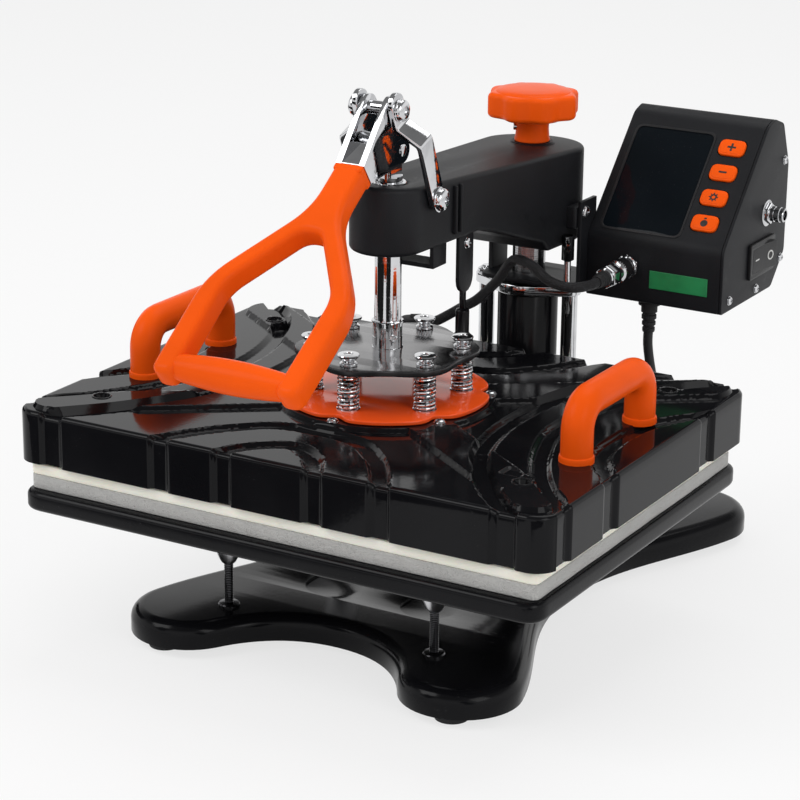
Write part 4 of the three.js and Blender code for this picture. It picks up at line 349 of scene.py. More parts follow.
def rounded_loop(corners, steps=6):
    """An outline whose corners, each given as x, y and radius, are rounded by arcs of a quadratic."""
    loop = []
    for number, (x, y, radius) in enumerate(corners):
        corner = Vector((x, y))
        before = Vector(corners[number - 1][:2]) - corner
        after = Vector(corners[(number + 1) % len(corners)][:2]) - corner
        if radius <= 0:
            loop.append((x, y))
            continue
        start = corner + before.normalized() * radius
        end = corner + after.normalized() * radius
        for step in range(steps + 1):
            t = step / steps
            p = start * (1 - t) ** 2 + corner * 2 * t * (1 - t) + end * t ** 2
            loop.append((p.x, p.y))
    return loop


def box_loop(x0, x1, y0, y1, radius, steps=6):
    return rounded_loop([(x0, y0, radius), (x1, y0, radius), (x1, y1, radius), (x0, y1, radius)], steps)


def polar_loop(reach, steps):
    """An outline whose distance from the middle is worked out for each angle."""
    angles = [FULL * k / steps for k in range(steps)]
    return [(reach(a) * math.cos(a), reach(a) * math.sin(a)) for a in angles]


def waved_loop(radius, wave, count, start, steps):
    return polar_loop(lambda a: radius + wave * math.cos(count * (a - start)), steps)


def capsule_loop(x, y0, y1, half, count=16):
    """A slot with round ends, along y."""
    turns = [math.pi * k / count for k in range(count + 1)]
    top = [(x + half * math.cos(a), y1 + half * math.sin(a)) for a in turns]
    return top + [(x - half * math.cos(a), y0 - half * math.sin(a)) for a in turns]


def inset_loop(points, distance):
    """The outline of a flat sheet moved inwards by a distance."""
    result = []
    count = len(points)
    area = sum(a[0] * b[1] - b[0] * a[1] for a, b in zip(points, points[1:] + points[:1]))
    sign = math.copysign(1, area)
    for k in range(count):
        a, b, c = (Vector(points[(k + j) % count]) for j in (-1, 0, 1))
        before, after = (b - a).normalized(), (c - b).normalized()
        one, two = Vector((-before.y, before.x)) * sign, Vector((-after.y, after.x)) * sign
        middle = (one + two).normalized()
        shift = middle * (distance / max(middle.dot(one), 0.2))
        result.append((b.x + shift.x, b.y + shift.y))
    return result


def hull_loop(points):
    """The tightest outline round a set of points."""
    points = sorted(set((round(x, 5), round(y, 5)) for x, y in points))

    def chain(items):
        kept = []
        for p in items:
            while len(kept) > 1 and (
                (kept[-1][0] - kept[-2][0]) * (p[1] - kept[-2][1])
                - (kept[-1][1] - kept[-2][1]) * (p[0] - kept[-2][0])
            ) <= 0:
                kept.pop()
            kept.append(p)
        return kept[:-1]

    return chain(points) + chain(points[::-1])


def smooth_route(points, steps=8):
    """A centripetal spline through the points, as the frame's own routes are."""
    points = [Vector(p) for p in points]
    line = [points[0] * 2 - points[1]] + points + [points[-1] * 2 - points[-2]]
    route = []
    for k in range(1, len(line) - 2):
        a, b, c, d = line[k - 1:k + 3]
        ta = 0.0
        tb = ta + max((b - a).length, 1e-6) ** 0.5
        tc = tb + max((c - b).length, 1e-6) ** 0.5
        td = tc + max((d - c).length, 1e-6) ** 0.5
        for step in range(steps):
            t = tb + (tc - tb) * step / steps
            ab = a.lerp(b, (t - ta) / (tb - ta))
            bc = b.lerp(c, (t - tb) / (tc - tb))
            cd = c.lerp(d, (t - tc) / (td - tc))
            abc = ab.lerp(bc, (t - ta) / (tc - ta))
            bcd = bc.lerp(cd, (t - tb) / (td - tb))
            route.append(abc.lerp(bcd, (t - tb) / (tc - tb)))
    route.append(points[-1])
    return route


def share_of(value, low, high):
    """How far the value is from low to high, kept between 0 and 1."""
    return min(max((value - low) / (high - low), 0), 1)


def cord_mesh(name, points, radius, sides=16):
    """A tube of rings along a line, with its run kept in a UV map for patterns that follow it."""
    mesh = bpy.data.meshes.new(name)
    build = bmesh.new()
    layer = build.loops.layers.uv.new("run")
    normal = None
    rings = []
    runs = [0.0]
    for a, b in zip(points, points[1:]):
        runs.append(runs[-1] + (b - a).length)
    for number, point in enumerate(points):
        before = points[max(number - 1, 0)]
        after = points[min(number + 1, len(points) - 1)]
        heading = (after - before).normalized()
        if normal is None:
            normal = heading.orthogonal()
        normal = (normal - heading * normal.dot(heading)).normalized()
        side = heading.cross(normal)
        turns = [FULL * k / sides for k in range(sides)]
        rings.append([
            build.verts.new(point + (normal * math.cos(a) + side * math.sin(a)) * radius) for a in turns
        ])
    for number in range(len(rings) - 1):
        for k in range(sides):
            near, far = rings[number], rings[number + 1]
            face = build.faces.new((near[k], near[(k + 1) % sides], far[(k + 1) % sides], far[k]))
            for loop, (turn, run) in zip(face.loops, (
                (k, runs[number]), (k + 1, runs[number]), (k + 1, runs[number + 1]), (k, runs[number + 1]),
            )):
                loop[layer].uv = (turn / sides, run)
            face.smooth = True
    build.faces.new(rings[0][::-1])
    build.faces.new(rings[-1])
    build.to_mesh(mesh)
    build.free()
    obj = bpy.data.objects.new(name, mesh)
    bpy.context.scene.collection.objects.link(obj)
    return obj


def shown(obj, body, slot, look, *nodes, smooth=32):
    """The finished piece: moved to the frame, smoothed, dressed, and made to ride on its body."""
    obj.data.transform(TO_ROW)
    if smooth:
        alone(obj)
        bpy.ops.object.shade_smooth_by_angle(angle=math.radians(smooth))
    obj.data.materials.clear()
    obj.data.materials.append(finish(look))
    if body:
        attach(obj, body)
    if nodes:
        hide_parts(*nodes)
    return obj


def numbered(name, spots):
    """Numbered names for the places of a repeated piece."""
    return [("%s_%d" % (name, number), (*spot, 0)[:3]) for number, spot in enumerate(spots, 1)]


def repeated(pattern, places, body, slot, look, node=None):
    """A finished copy of the pattern at each named place. The pattern itself is deleted."""
    twins = []
    for number, (name, place) in enumerate(places):
        twin = copied(pattern, name, Matrix.Translation(place))
        twins.append(shown(twin, body, slot, look, *([node(number)] if node else [])))
    bpy.data.objects.remove(pattern)
    return twins


# Finishes

class Wire:
    """A socket that does sums: each sign adds the Math node it stands for."""

    def __init__(self, nodes, socket):
        self.nodes = nodes
        self.socket = socket

    def math(self, operation, *others):
        return self.nodes.add("ShaderNodeMath", {"operation": operation}, dict(enumerate((self, *others))))

    def __add__(self, other):
        return self.math("ADD", other)

    def __sub__(self, other):
        return self.math("SUBTRACT", other)

    def __mul__(self, other):
        return self.math("MULTIPLY", other)

    def __radd__(self, other):
        return self + other

    def __rmul__(self, other):
        return self * other

    def __rsub__(self, other):
        return (self * -1) + other

    def sine(self):
        return self.math("SINE")

    def most(self, other):
        return self.math("MAXIMUM", other)

    def power(self, other):
        return self.math("POWER", other)

    def spread(self, low, high, start=0.0, end=1.0):
        return self.nodes.add(
            "ShaderNodeMapRange", {"interpolation_type": "SMOOTHSTEP"},
            {0: self, 1: low, 2: high, 3: start, 4: end},
        )


class Nodes:
    """Nodes of one tree, added and joined by calls."""

    def __init__(self, tree):
        self.tree = tree

    def feed(self, socket, value):
        if isinstance(value, Wire):
            self.tree.links.new(value.socket, socket)
        elif socket.type == "RGBA" and len(value) == 3:
            socket.default_value = (*value, 1)
        else:
            socket.default_value = value

    def add(self, kind, settings=None, sockets=None, output=0):
        node = self.tree.nodes.new(kind)
        for name, value in (settings or {}).items():
            setattr(node, name, value)
        for name, value in (sockets or {}).items():
            self.feed(node.inputs[name], value)
        return Wire(self, node.outputs[output])

    def rays(self, *kinds):
        """One wire for each kind of ray, which is 1 where the ray is of that kind."""
        outputs = self.add("ShaderNodeLightPath").socket.node.outputs
        return [Wire(self, outputs["Is %s Ray" % kind]) for kind in kinds]

    def axes(self, place):
        outputs = self.add("ShaderNodeSeparateXYZ", {}, {0: place}).socket.node.outputs
        return [Wire(self, output) for output in outputs]


class Finish(Nodes):
    """A material built node by node round one Principled shader."""

    def __init__(self, name, **steady):
        self.material = bpy.data.materials.new(name + " finish")
        self.material.use_nodes = True
        super().__init__(self.material.node_tree)
        self.shader = self.tree.nodes["Principled BSDF"]
        self.place = self.add("ShaderNodeTexCoord", output="Object")
        self.varying(**steady)

    def mix(self, low, high, share):
        return self.add("ShaderNodeMix", {"data_type": "RGBA"}, {0: share, 6: low, 7: high}, 2)

    def stretched(self, x, y, z):
        return self.add("ShaderNodeMapping", {}, {"Vector": self.place, "Scale": (x, y, z)})

    def noise(self, scale, detail=2, rough=0.5, place=None):
        return self.add(
            "ShaderNodeTexNoise", {},
            {"Vector": place or self.place, "Scale": scale, "Detail": detail, "Roughness": rough},
        )

    def cells(self, scale, feature="F1"):
        return self.add("ShaderNodeTexVoronoi", {"feature": feature}, {"Vector": self.place, "Scale": scale})

    def bump(self, height, depth):
        return self.add("ShaderNodeBump", {}, {"Strength": 1.0, "Distance": depth, "Height": height})

    def wear(self, scale=60, low=0.60, high=0.72):
        """Thin broken scratches: stretched noise that only shows where a second noise allows."""
        lines = self.noise(scale, 6, 0.75, self.stretched(1, 9, 3)).spread(low, high)
        return lines * self.noise(14, 2).spread(0.52, 0.66)

    def varying(self, **wires):
        for name, wire in wires.items():
            self.feed(self.shader.inputs[name.replace("_", " ")], wire)
        return self.material


def enamel(name, colour, rough, peel=0.00003, dust=0.35, index=1.24):
    """Stoved enamel: orange peel, cloudy gloss, hair scratches and a little settled dust."""
    f = Finish(name, IOR=index)
    cloud = f.noise(16, 3)
    specks = f.noise(950, 3, 0.6).spread(0.66, 0.76) * f.noise(38, 2).spread(0.45, 0.7)
    scratch = f.wear()
    base = f.mix(colour, [c * 1.25 + 0.002 for c in colour], cloud.spread(0.35, 0.8))
    base = f.mix(base, (0.16, 0.16, 0.165), specks * dust)
    base = f.mix(base, (0.09, 0.09, 0.095), scratch * 0.3)
    height = f.noise(330, 1) * 0.8 + f.noise(1700, 1) * 0.2 - scratch * 0.5
    return f.varying(
        Base_Color=base, Roughness=cloud * 0.07 + specks * 0.3 + scratch * 0.22 + rough,
        Normal=f.bump(height, peel),
    )


def powder_coat(name, colour):
    """Fine textured powder coat with rubbed, slightly shinier places."""
    f = Finish(name, IOR=1.3)
    grain = f.noise(1250, 2, 0.6)
    cloud = f.noise(22, 3)
    rubbed = f.noise(45, 5, 0.7).spread(0.60, 0.74)
    base = f.mix(colour, [c * 1.8 + 0.002 for c in colour], cloud.spread(0.3, 0.8) * 0.6 + grain * 0.25)
    base = f.mix(base, (0.07, 0.07, 0.075), f.wear(75) * 0.45)
    return f.varying(
        Base_Color=base, Roughness=0.43 - rubbed * 0.14 + grain * 0.1, Normal=f.bump(grain, 0.00012),
    )


def moulding(name, colour, rough):
    """Moulded plastic: faint flow clouds, fine texture and a few pale scuffs."""
    f = Finish(name, IOR=1.13)
    cloud = f.noise(11, 3)
    grain = f.noise(1500, 2)
    scuff = f.wear(85, 0.61, 0.75)
    deep = [c * 0.86 for c in colour]
    pale = [min(1, c * 1.05 + 0.03) for c in colour]
    base = f.mix(deep, colour, cloud.spread(0.3, 0.7))
    base = f.mix(base, pale, scuff * 0.5 + f.noise(500, 2).spread(0.62, 0.8) * 0.15)
    return f.varying(
        Base_Color=base, Roughness=cloud * 0.09 + scuff * 0.2 + rough,
        Normal=f.bump(grain + cloud * 3, 0.00003),
    )


def plating(name, colour, rough, swirl=0.0, pits=0.4, depth=0.00002):
    """Plated or turned metal: smudges, hairlines, tiny pits and, if asked, the lathe's fine rings."""
    f = Finish(name)
    _, _, z = f.axes(f.place)
    cloud = f.noise(70, 3)
    smear = f.noise(30, 5, 0.7, f.stretched(1, 1, 7)).spread(0.5, 0.78)
    specks = f.cells(1300).spread(0.0, 0.16, 1, 0) * f.noise(120, 2).spread(0.55, 0.7)
    height = f.noise(520, 2) - specks * pits
    if swirl:
        rings = (z * swirl).sine() * 0.5 + (z * swirl * 0.37 + cloud * 4).sine() * 0.5
        height = height * 0.4 + rings * 0.6
    base = f.mix(colour, [c * 0.72 for c in colour], cloud.spread(0.4, 0.75) * 0.55 + specks * 0.4)
    return f.varying(
        Base_Color=base, Metallic=1 - specks * 0.25, Roughness=smear * 0.13 + specks * 0.3 + rough,
        Normal=f.bump(height, depth),
    )


def polished_disc(name):
    """Polished steel disc: the lathe's rings round the shaft, darker towards the scalloped edge."""
    f = Finish(name)
    x, y, _ = f.axes(f.place)
    along = y - ROW_Y * MM
    reach = (x * x + along * along).power(0.5)
    rings = (reach * 9000 + f.noise(60, 2) * 5).sine()
    cloud = f.noise(55, 3)
    edge = reach.spread(0.0535, 0.0565)
    base = f.mix((0.24, 0.235, 0.235), (0.15, 0.15, 0.155), cloud)
    base = f.mix(base, (0.03, 0.03, 0.032), edge)
    return f.varying(
        Base_Color=base, Metallic=1 - edge * 0.5, Roughness=cloud * 0.12 + edge * 0.12 + 0.07,
        Normal=f.bump(rings, 0.000006),
    )


def sponge(name, colour):
    """Dense foam: open cells of two sizes and a slightly soiled skin."""
    f = Finish(name, Sheen_Weight=0.15, Sheen_Roughness=0.6, Specular_IOR_Level=0.2)
    small = f.cells(1500).spread(0.1, 0.62)
    large = f.cells(520).spread(0.05, 0.5)
    cloud = f.noise(26, 4)
    base = f.mix([c * 0.8 for c in colour], colour, small * 0.6 + large * 0.4)
    base = f.mix(base, [c * 1.15 for c in colour], cloud.spread(0.45, 0.8) * 0.4)
    return f.varying(Base_Color=base, Roughness=0.97 - cloud * 0.12, Normal=f.bump(small + large, 0.0003))


def silicone(name, colour):
    """Cream silicone: chalky, faintly mottled, with the warm tint the heat leaves."""
    f = Finish(name, Subsurface_Weight=0.12, Subsurface_Scale=0.004, Specular_IOR_Level=0.35)
    cloud = f.noise(18, 4)
    grain = f.noise(900, 3, 0.6)
    soot = f.noise(60, 4, 0.7).spread(0.58, 0.75)
    base = f.mix(colour, [colour[0] * 0.92, colour[1] * 0.86, colour[2] * 0.72], cloud.spread(0.4, 0.8) * 0.4)
    base = f.mix(base, (0.42, 0.38, 0.29), soot * 0.12)
    return f.varying(Base_Color=base, Roughness=grain * 0.14 + 0.42, Normal=f.bump(grain, 0.00008))


def rubber(name, colour, rough):
    """Rubber or hard plastic: fine grain with dull clouds."""
    f = Finish(name, IOR=1.35)
    grain = f.noise(1600, 3, 0.65)
    cloud = f.noise(30, 3)
    base = f.mix(colour, [c * 1.8 + 0.004 for c in colour], cloud.spread(0.4, 0.8) * 0.7 + grain * 0.2)
    return f.varying(Base_Color=base, Roughness=grain * 0.16 + rough - 0.08, Normal=f.bump(grain, 0.00009))


def braid(name):
    """Braided sleeve over the head cable, drawn along the cable's own run."""
    f = Finish(name, Specular_IOR_Level=0.4)
    run = f.add("ShaderNodeUVMap", {"uv_map": "run"})
    turn, along, _ = f.axes(run)
    left = (turn * FULL * 8 + along * 1750).sine()
    right = (turn * FULL * 8 - along * 1750).sine()
    weave = left.most(right)
    strand = (turn * FULL * 32 + along * 7000).sine() * 0.5 + 0.5
    dark = f.mix((0.008, 0.008, 0.009), (0.045, 0.045, 0.05), weave.spread(-0.1, 0.95))
    base = f.mix(dark, (0.13, 0.13, 0.14), strand * f.noise(800, 2).spread(0.55, 0.7) * 0.8)
    return f.varying(
        Base_Color=base, Roughness=0.58 - weave * 0.12, Normal=f.bump(weave * 0.8 + strand * 0.2, 0.0004),
    )


def dark_glass(name):
    """Dark screen: a smeared, slightly dusty pane."""
    f = Finish(name, IOR=1.2)
    smear = f.noise(42, 5, 0.7, f.stretched(1, 3, 1)).spread(0.48, 0.8)
    dust = f.noise(1100, 2).spread(0.68, 0.78)
    base = f.mix((0.0025, 0.004, 0.006), (0.007, 0.010, 0.013), f.noise(20, 2))
    base = f.mix(base, (0.12, 0.12, 0.12), dust * 0.25)
    return f.varying(Base_Color=base, Roughness=smear * 0.12 + 0.05, Normal=f.bump(f.noise(300, 1), 0.000006))


def printed_plate(name, colour):
    """Coated plate: cloudy colour, worn in places."""
    f = Finish(name, Coat_Weight=0.35, Coat_Roughness=0.15)
    cloud = f.noise(60, 3)
    grain = f.noise(1400, 3, 0.7)
    rub = f.wear(120, 0.58, 0.7)
    base = f.mix(colour, [c * 0.62 for c in colour], cloud.spread(0.35, 0.75))
    base = f.mix(base, [c * 1.5 + 0.03 for c in colour], rub * 0.5)
    return f.varying(
        Base_Color=base, Roughness=grain * 0.15 + rub * 0.15 + 0.3, Normal=f.bump(grain, 0.00003),
    )


def board_fibre(name, colour):
    """Pressed board: pale threads lying along the sheet."""
    f = Finish(name, Specular_IOR_Level=0.2)
    threads = f.noise(420, 5, 0.75, f.stretched(1, 0.2, 3))
    base = f.mix([c * 0.6 for c in colour], colour, threads.spread(0.35, 0.7))
    return f.varying(Base_Color=base, Roughness=threads * 0.1 + 0.82, Normal=f.bump(threads, 0.0003))


def circuit(name):
    """Circuit board: green lacquer over tracks, with tinned pads."""
    f = Finish(name, Coat_Weight=0.3, Coat_Roughness=0.2)
    tracks = f.cells(260, "DISTANCE_TO_EDGE").spread(0.03, 0.08)
    pads = f.cells(420).spread(0.12, 0.2, 1, 0)
    base = f.mix((0.03, 0.16, 0.05), (0.012, 0.075, 0.025), tracks)
    base = f.mix(base, (0.62, 0.58, 0.5), pads * 0.7)
    return f.varying(
        Base_Color=base, Metallic=pads * 0.6, Roughness=0.45 - pads * 0.15, Normal=f.bump(pads, 0.0001),
    )


def ink(name, colour):
    """Printed mark: flat ink with a fine grain."""
    f = Finish(name)
    grain = f.noise(2200, 2)
    base = f.mix(colour, [c * 0.7 + 0.01 for c in colour], grain.spread(0.4, 0.7))
    return f.varying(Base_Color=base, Roughness=grain * 0.2 + 0.4, Normal=f.bump(grain, 0.00002))


# Each finish: its maker, a colour or the name of one, and the maker's further values
RECIPES = {
    "gloss enamel": (enamel, "black", 0.12, 0.00003, 0.35, 1.22),
    "board enamel": (enamel, "black", 0.17, 0.00004),
    "cover enamel": (enamel, "black", 0.05, 0.00002, 0.25),
    "orange paint": (enamel, "orange_plate", 0.06, 0.00002, 0.2, 1.38),
    "powder coat": (powder_coat, "satin"),
    "orange moulding": (moulding, "orange", 0.24),
    "chrome": (plating, "chrome", 0.045),
    "ground chrome": (plating, "chrome", 0.05, 2600, 0.2, 0.000006),
    "bright zinc": (plating, (0.8, 0.8, 0.82), 0.28),
    "dark steel": (plating, (0.085, 0.085, 0.09), 0.16, 0, 0.6, 0.00003),
    "steel": (plating, (0.46, 0.46, 0.47), 0.2, 3800, 0.5, 0.00002),
    "bronze": (plating, (0.62, 0.36, 0.16), 0.22, 4200, 0.5, 0.00002),
    "aluminium": (plating, (0.66, 0.67, 0.68), 0.26, 0, 0.6, 0.00003),
    "polished disc": (polished_disc,),
    "foam": (sponge, "foam"),
    "silicone": (silicone, "cream"),
    "rubber": (rubber, "rubber", 0.62),
    "cord rubber": (rubber, "rubber", 0.5),
    "hard plastic": (rubber, (0.012, 0.012, 0.013), 0.36),
    "braid": (braid,),
    "dark glass": (dark_glass,),
    "bare plate": (printed_plate, "plate"),
    "fibre board": (board_fibre, (0.52, 0.47, 0.36)),
    "circuit": (circuit,),
    "white ink": (ink, (0.72, 0.72, 0.70)),
    "black ink": (ink, (0.02, 0.012, 0.01)),
}


def finish(name):
    """The named material, made on its first use."""
    maker, *values = RECIPES[name]
    if values and isinstance(values[0], str):
        values[0] = colour_of(values[0])
    return bpy.data.materials.get(name + " finish") or maker(name, *values)


def dressed(node, name):
    """A CAD node that stays, with a finish of its own."""
    obj = bpy.data.objects[node]
    obj.data.materials.clear()
    obj.data.materials.append(finish(name))
    return obj


# Stage and camera, in metres

CAMERA_PLACE = Vector((0.8501, -1.5114, 0.7206))
CAMERA_TARGET = Vector((0.020, -0.0758, 0.1735))
CAMERA_ROLL = math.radians(0.63)
SENSOR, LENS = 36, 118.8
FLOOR_SIDE = 80
# Each flag: its place, width and height, and the direction it faces
FLAGS = {
    "front_flag": ((-0.75, -0.95, 0.004), 1.25, 0.95, (0, 0, 1)),
    "shaft_flag": ((0.46, -1.0, 0.004), 0.5, 0.8, (0, 0, 1)),
    "left_flag": ((-0.62, 0.02, 0.20), 0.16, 0.5, (1, 0.25, 0)),
    "right_flag": ((0.50, -0.62, 0.14), 0.16, 0.34, (-0.7, 1, 0)),
    "linkage_flag": ((-0.62, -1.21, 0.61), 0.5, 0.5, (0.475, 0.856, -0.19)),
}
# Each lamp: its place, side and power
LAMPS = {
    "key_light": ((-1.3, -1.5, 1.9), 1.3, 20),
    "fill_light": ((1.9, -0.9, 1.3), 1.1, 9),
    "top_light": ((0.1, 0.9, 2.3), 1.6, 15),
}
LAMP_AIM = Vector((0, 0, 0.15))


class PRESS_OT_stage(bpy.types.Operator):
    """Pale floor, soft studio lights, white surroundings and the camera at the photograph's angle"""
    bl_idname = "press.stage"
    bl_label = "Stage, lights and camera"

    def execute(self, context):
        context.scene.view_settings.view_transform = "Standard"
        self.camera(context.scene)
        self.floor()
        self.surroundings(context.scene)
        for name, values in FLAGS.items():
            self.flag(name, *values)
        for name, values in LAMPS.items():
            self.soft_light(name, *values)
        return {"FINISHED"}

    def camera(self, scene):
        back = (CAMERA_PLACE - CAMERA_TARGET).normalized()
        right = Vector((0, 0, 1)).cross(back).normalized()
        up = back.cross(right)
        turned_right = right * math.cos(CAMERA_ROLL) + up * math.sin(CAMERA_ROLL)
        turned_up = up * math.cos(CAMERA_ROLL) - right * math.sin(CAMERA_ROLL)
        clear()
        bpy.ops.object.camera_add(location=CAMERA_PLACE)
        camera = bpy.context.active_object
        camera.matrix_world = basis(turned_right, turned_up, back, CAMERA_PLACE)
        camera.data.sensor_width = SENSOR
        camera.data.lens = LENS
        scene.camera = camera

    def floor(self):
        """A pale floor that glows a little for the camera and for mirrors."""
        bpy.ops.mesh.primitive_plane_add(size=FLOOR_SIDE, location=(0, 0, 0))
        floor = bpy.context.active_object
        floor.name = "studio_floor"
        f = Finish("studio floor", Specular_IOR_Level=0.1)
        f.varying(
            Base_Color=f.mix((0.90, 0.90, 0.905), (0.93, 0.93, 0.93), f.noise(1.5, 2)),
            Roughness=f.noise(9) * 0.1 + 0.8,
        )
        seen, glossy, through = f.rays("Camera", "Glossy", "Transmission")
        glow = f.add("ShaderNodeEmission", {}, {"Color": (1, 1, 1), "Strength": 1.0})
        share = seen * 0.72 + glossy.most(through) * 0.5
        blend = f.add("ShaderNodeMixShader", {}, {0: share, 1: Wire(f, f.shader.outputs[0]), 2: glow})
        f.feed(f.tree.nodes["Material Output"].inputs["Surface"], blend)
        floor.data.materials.append(f.material)

    def surroundings(self, scene):
        """White all round, dimmer as a lamp, with a dark ceiling that only mirrors see."""
        world = bpy.data.worlds.new("studio")
        scene.world = world
        world.use_nodes = True
        nodes = Nodes(world.node_tree)
        seen, glossy, through = nodes.rays("Camera", "Glossy", "Transmission")
        level = nodes.add(
            "ShaderNodeMapRange", {},
            {"Value": seen.most(glossy.most(through)), "To Min": 0.55, "To Max": 1.0},
        )
        upwards = nodes.axes(nodes.add("ShaderNodeTexCoord", output="Generated"))[2]
        ceiling = upwards.spread(0.34, 0.62, 0.0, 0.78)
        background = nodes.tree.nodes["Background"]
        nodes.feed(background.inputs["Color"], (1, 1, 1))
        nodes.feed(background.inputs["Strength"], level - ceiling * glossy)

    def flag(self, name, place, wide, high, direction):
        """A black studio flag: it only darkens what metal and gloss mirror, and no view shows it."""
        clear()
        bpy.ops.mesh.primitive_plane_add(size=1)
        flag = bpy.context.active_object
        flag.name = name
        flag.data.transform(facing(direction, place) @ Matrix.Diagonal((wide, high, 1, 1)))
        f = Finish(name, Specular_IOR_Level=0.0)
        base = f.mix((0.01, 0.01, 0.01), (0.02, 0.02, 0.02), f.noise(20))
        flag.data.materials.append(f.varying(Base_Color=base))
        flag.visible_camera = flag.visible_diffuse = flag.visible_shadow = flag.visible_transmission = False

    def soft_light(self, name, place, side, power):
        clear()
        bpy.ops.object.light_add(type="AREA", location=place)
        lamp = bpy.context.active_object
        lamp.name = name
        lamp.data.size = side
        lamp.data.energy = power
        lamp.matrix_world = facing(Vector(place) - LAMP_AIM, place)


# Cords

HEAD_ROUTE = [
    (81, 148.4, 224), (81, 141.2, 224), (72, 127, 224), (55, 128, 226), (36, 136, 233), (18, 144, 232),
    (4, 150, 215), (-6, 151, 204.5), (-16, 151, 195), (-26, 149.5, 189), (-34, 147, 183.5),
    (-43.21, 141.72, 178), (-47.72, 138.75, 178),
]
CORD_RADIUS, HEAD_RADIUS = 3.5, 3.6
COIL_CENTRE = Vector((-20, 372, 0))
COIL_OUTER = 48.106
COIL_PITCH = 7.7
COIL_TURNS = 5.25
# Where the lead comes to the outer turn of the coil
ENTRY = COIL_CENTRE + Vector((COIL_OUTER, -7, CORD_RADIUS))
MAINS_ROUTE = [
    (92, 215, 177.4), (92, 215, 163.4), (92, 228, 130), (88, 262, 84), (78, 302, 52), (62, 328, 26),
    (46, 337, 9), (ENTRY.x + 5, ENTRY.y - 17, 4.1), (ENTRY.x, ENTRY.y - 3.8, CORD_RADIUS),
    (ENTRY.x, ENTRY.y - 0.3, CORD_RADIUS),
]
PLUG_FRONT, PLUG_BACK = -98.3, -64.3
PLUG_SIDES = (407.1, 433.1)
PLUG_Y, PLUG_Z = 420.1, 11.2
# The ties: where they stand round the coil, and the middle and half size of each in its own section
TIE_ANGLES = (math.radians(78), math.radians(258))
TIE_OUT, TIE_UP, TIE_WIDE, TIE_HIGH = 39.4, 8.0, 14.6, 7.4
TIE_STEPS = 28


def coil_route(steps=24):
    """Turns that spiral inwards, climb one layer and spiral out again."""
    points = []
    half = COIL_TURNS / 2
    for k in range(int(COIL_TURNS * steps) + 1):
        t = k / steps
        radius = COIL_OUTER - COIL_PITCH * (min(t, half) - max(t - half, 0))
        lift = share_of(t, half - 0.25, half + 0.25)
        points.append(COIL_CENTRE + Vector((
            radius * math.cos(FULL * t), radius * math.sin(FULL * t), CORD_RADIUS + COIL_PITCH * lift,
        )))
    return points


class PRESS_OT_cords(bpy.types.Operator):
    """Mains cord with its tied coil and plug, and the braided head cable"""
    bl_idname = "press.cords"
    bl_label = "Cords"

    def execute(self, context):
        self.mains()
        self.head()
        return {"FINISHED"}

    def mains(self):
        coil = coil_route()
        lead_in = smooth_route(MAINS_ROUTE, 6)[:-1] + [ENTRY + Vector((0, 3, 0))]
        route = lead_in + coil[1:] + [coil[-1] - ACROSS * step for step in (8, 16, 24, 32)]
        cord = cord_mesh("mains_lead", route, CORD_RADIUS, 14)
        shown(cord, None, "cord", "cord rubber", "mains_cord", "mains_coil", smooth=0)
        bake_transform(cord)
        plug = self.plug()
        bands = self.ties()

    def plug(self):
        """A moulded plug with grip grooves, its ribbed boot and two round pins."""
        body = flat("plug_body", [box_loop(PLUG_FRONT, PLUG_BACK, *PLUG_SIDES, 5)], 0.2, 22.4, 3.5)
        for x in range(-90, -66, 6):
            for y in PLUG_SIDES:
                cut(body, block("grip_cut", x, x + 3, y - 1.2, y + 1.2, 4, 18))
        boot = moved(
            turned("plug_boot", [
                (4.4, 0), (5.6, 1), (6.2, 4), (5.2, 5), (6.6, 6.5), (6.8, 9), (5.9, 10), (7.4, 11), (7.8, 14),
            ], 32),
            facing((-1, 0, 0), (-51.6, PLUG_Y, PLUG_Z)),
        )
        shell = joined("plug_shell", body, boot)
        shown(shell, "base", "plastic_black", "hard plastic", "mains_plug")
        pins = [
            moved(
                turned("plug_pin", [(2.3, 0), (2.3, 16.2), (1.7, 17.6), (0.7, 18)], 24),
                facing((-1, 0, 0), (PLUG_FRONT, PLUG_Y + side, PLUG_Z)),
            )
            for side in (-4.75, 4.75)
        ]
        shown(joined("plug_pins", *pins), "base", "chrome", "chrome")
        return shell

    def ties(self):
        """Two bands, each squared round the coil's section."""
        bands = []
        for angle in TIE_ANGLES:
            heading = Vector((math.cos(angle), math.sin(angle), 0))
            loop = []
            for k in range(TIE_STEPS):
                out, high = math.cos(FULL * k / TIE_STEPS), math.sin(FULL * k / TIE_STEPS)
                reach = TIE_OUT + TIE_WIDE * math.copysign(abs(out) ** 0.45, out)
                rise = TIE_UP + TIE_HIGH * math.copysign(abs(high) ** 0.6, high)
                loop.append(COIL_CENTRE + heading * reach + Vector((0, 0, rise)))
            bands.append(bar("tie", loop, 0.8, 3, cyclic=True))
        return shown(joined("coil_ties", *bands), "base", "cord", "rubber")

    def head(self):
        route = smooth_route(HEAD_ROUTE, 4)
        cable = cord_mesh("head_braid", route, HEAD_RADIUS, 24)
        shown(cable, None, "cord", "braid", "head_cable", smooth=0)
        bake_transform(cable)


# Stand

BASE_MIDDLE_Y = 97
BASE_WALL = 8
LOBE_X, LOBE_Y, LOBE_RADIUS = 105, -179, 41
WAIST_X, WAIST_Y = 93, -158
BOSS_LOW = BASE_LOW + 0.2
STUD_SPOTS = [(-80, -73), (80, -73), (-80, 73), (80, 73)]
STUD_LOW = BASE_TOP - 0.1


def bezier(a, b, c, d, count):
    points = []
    for k in range(count + 1):
        t = k / count
        shares = ((1 - t) ** 3, 3 * t * (1 - t) ** 2, 3 * t * t * (1 - t), t ** 3)
        points.append(tuple(sum(p[i] * share for p, share in zip((a, b, c, d), shares)) for i in (0, 1)))
    return points


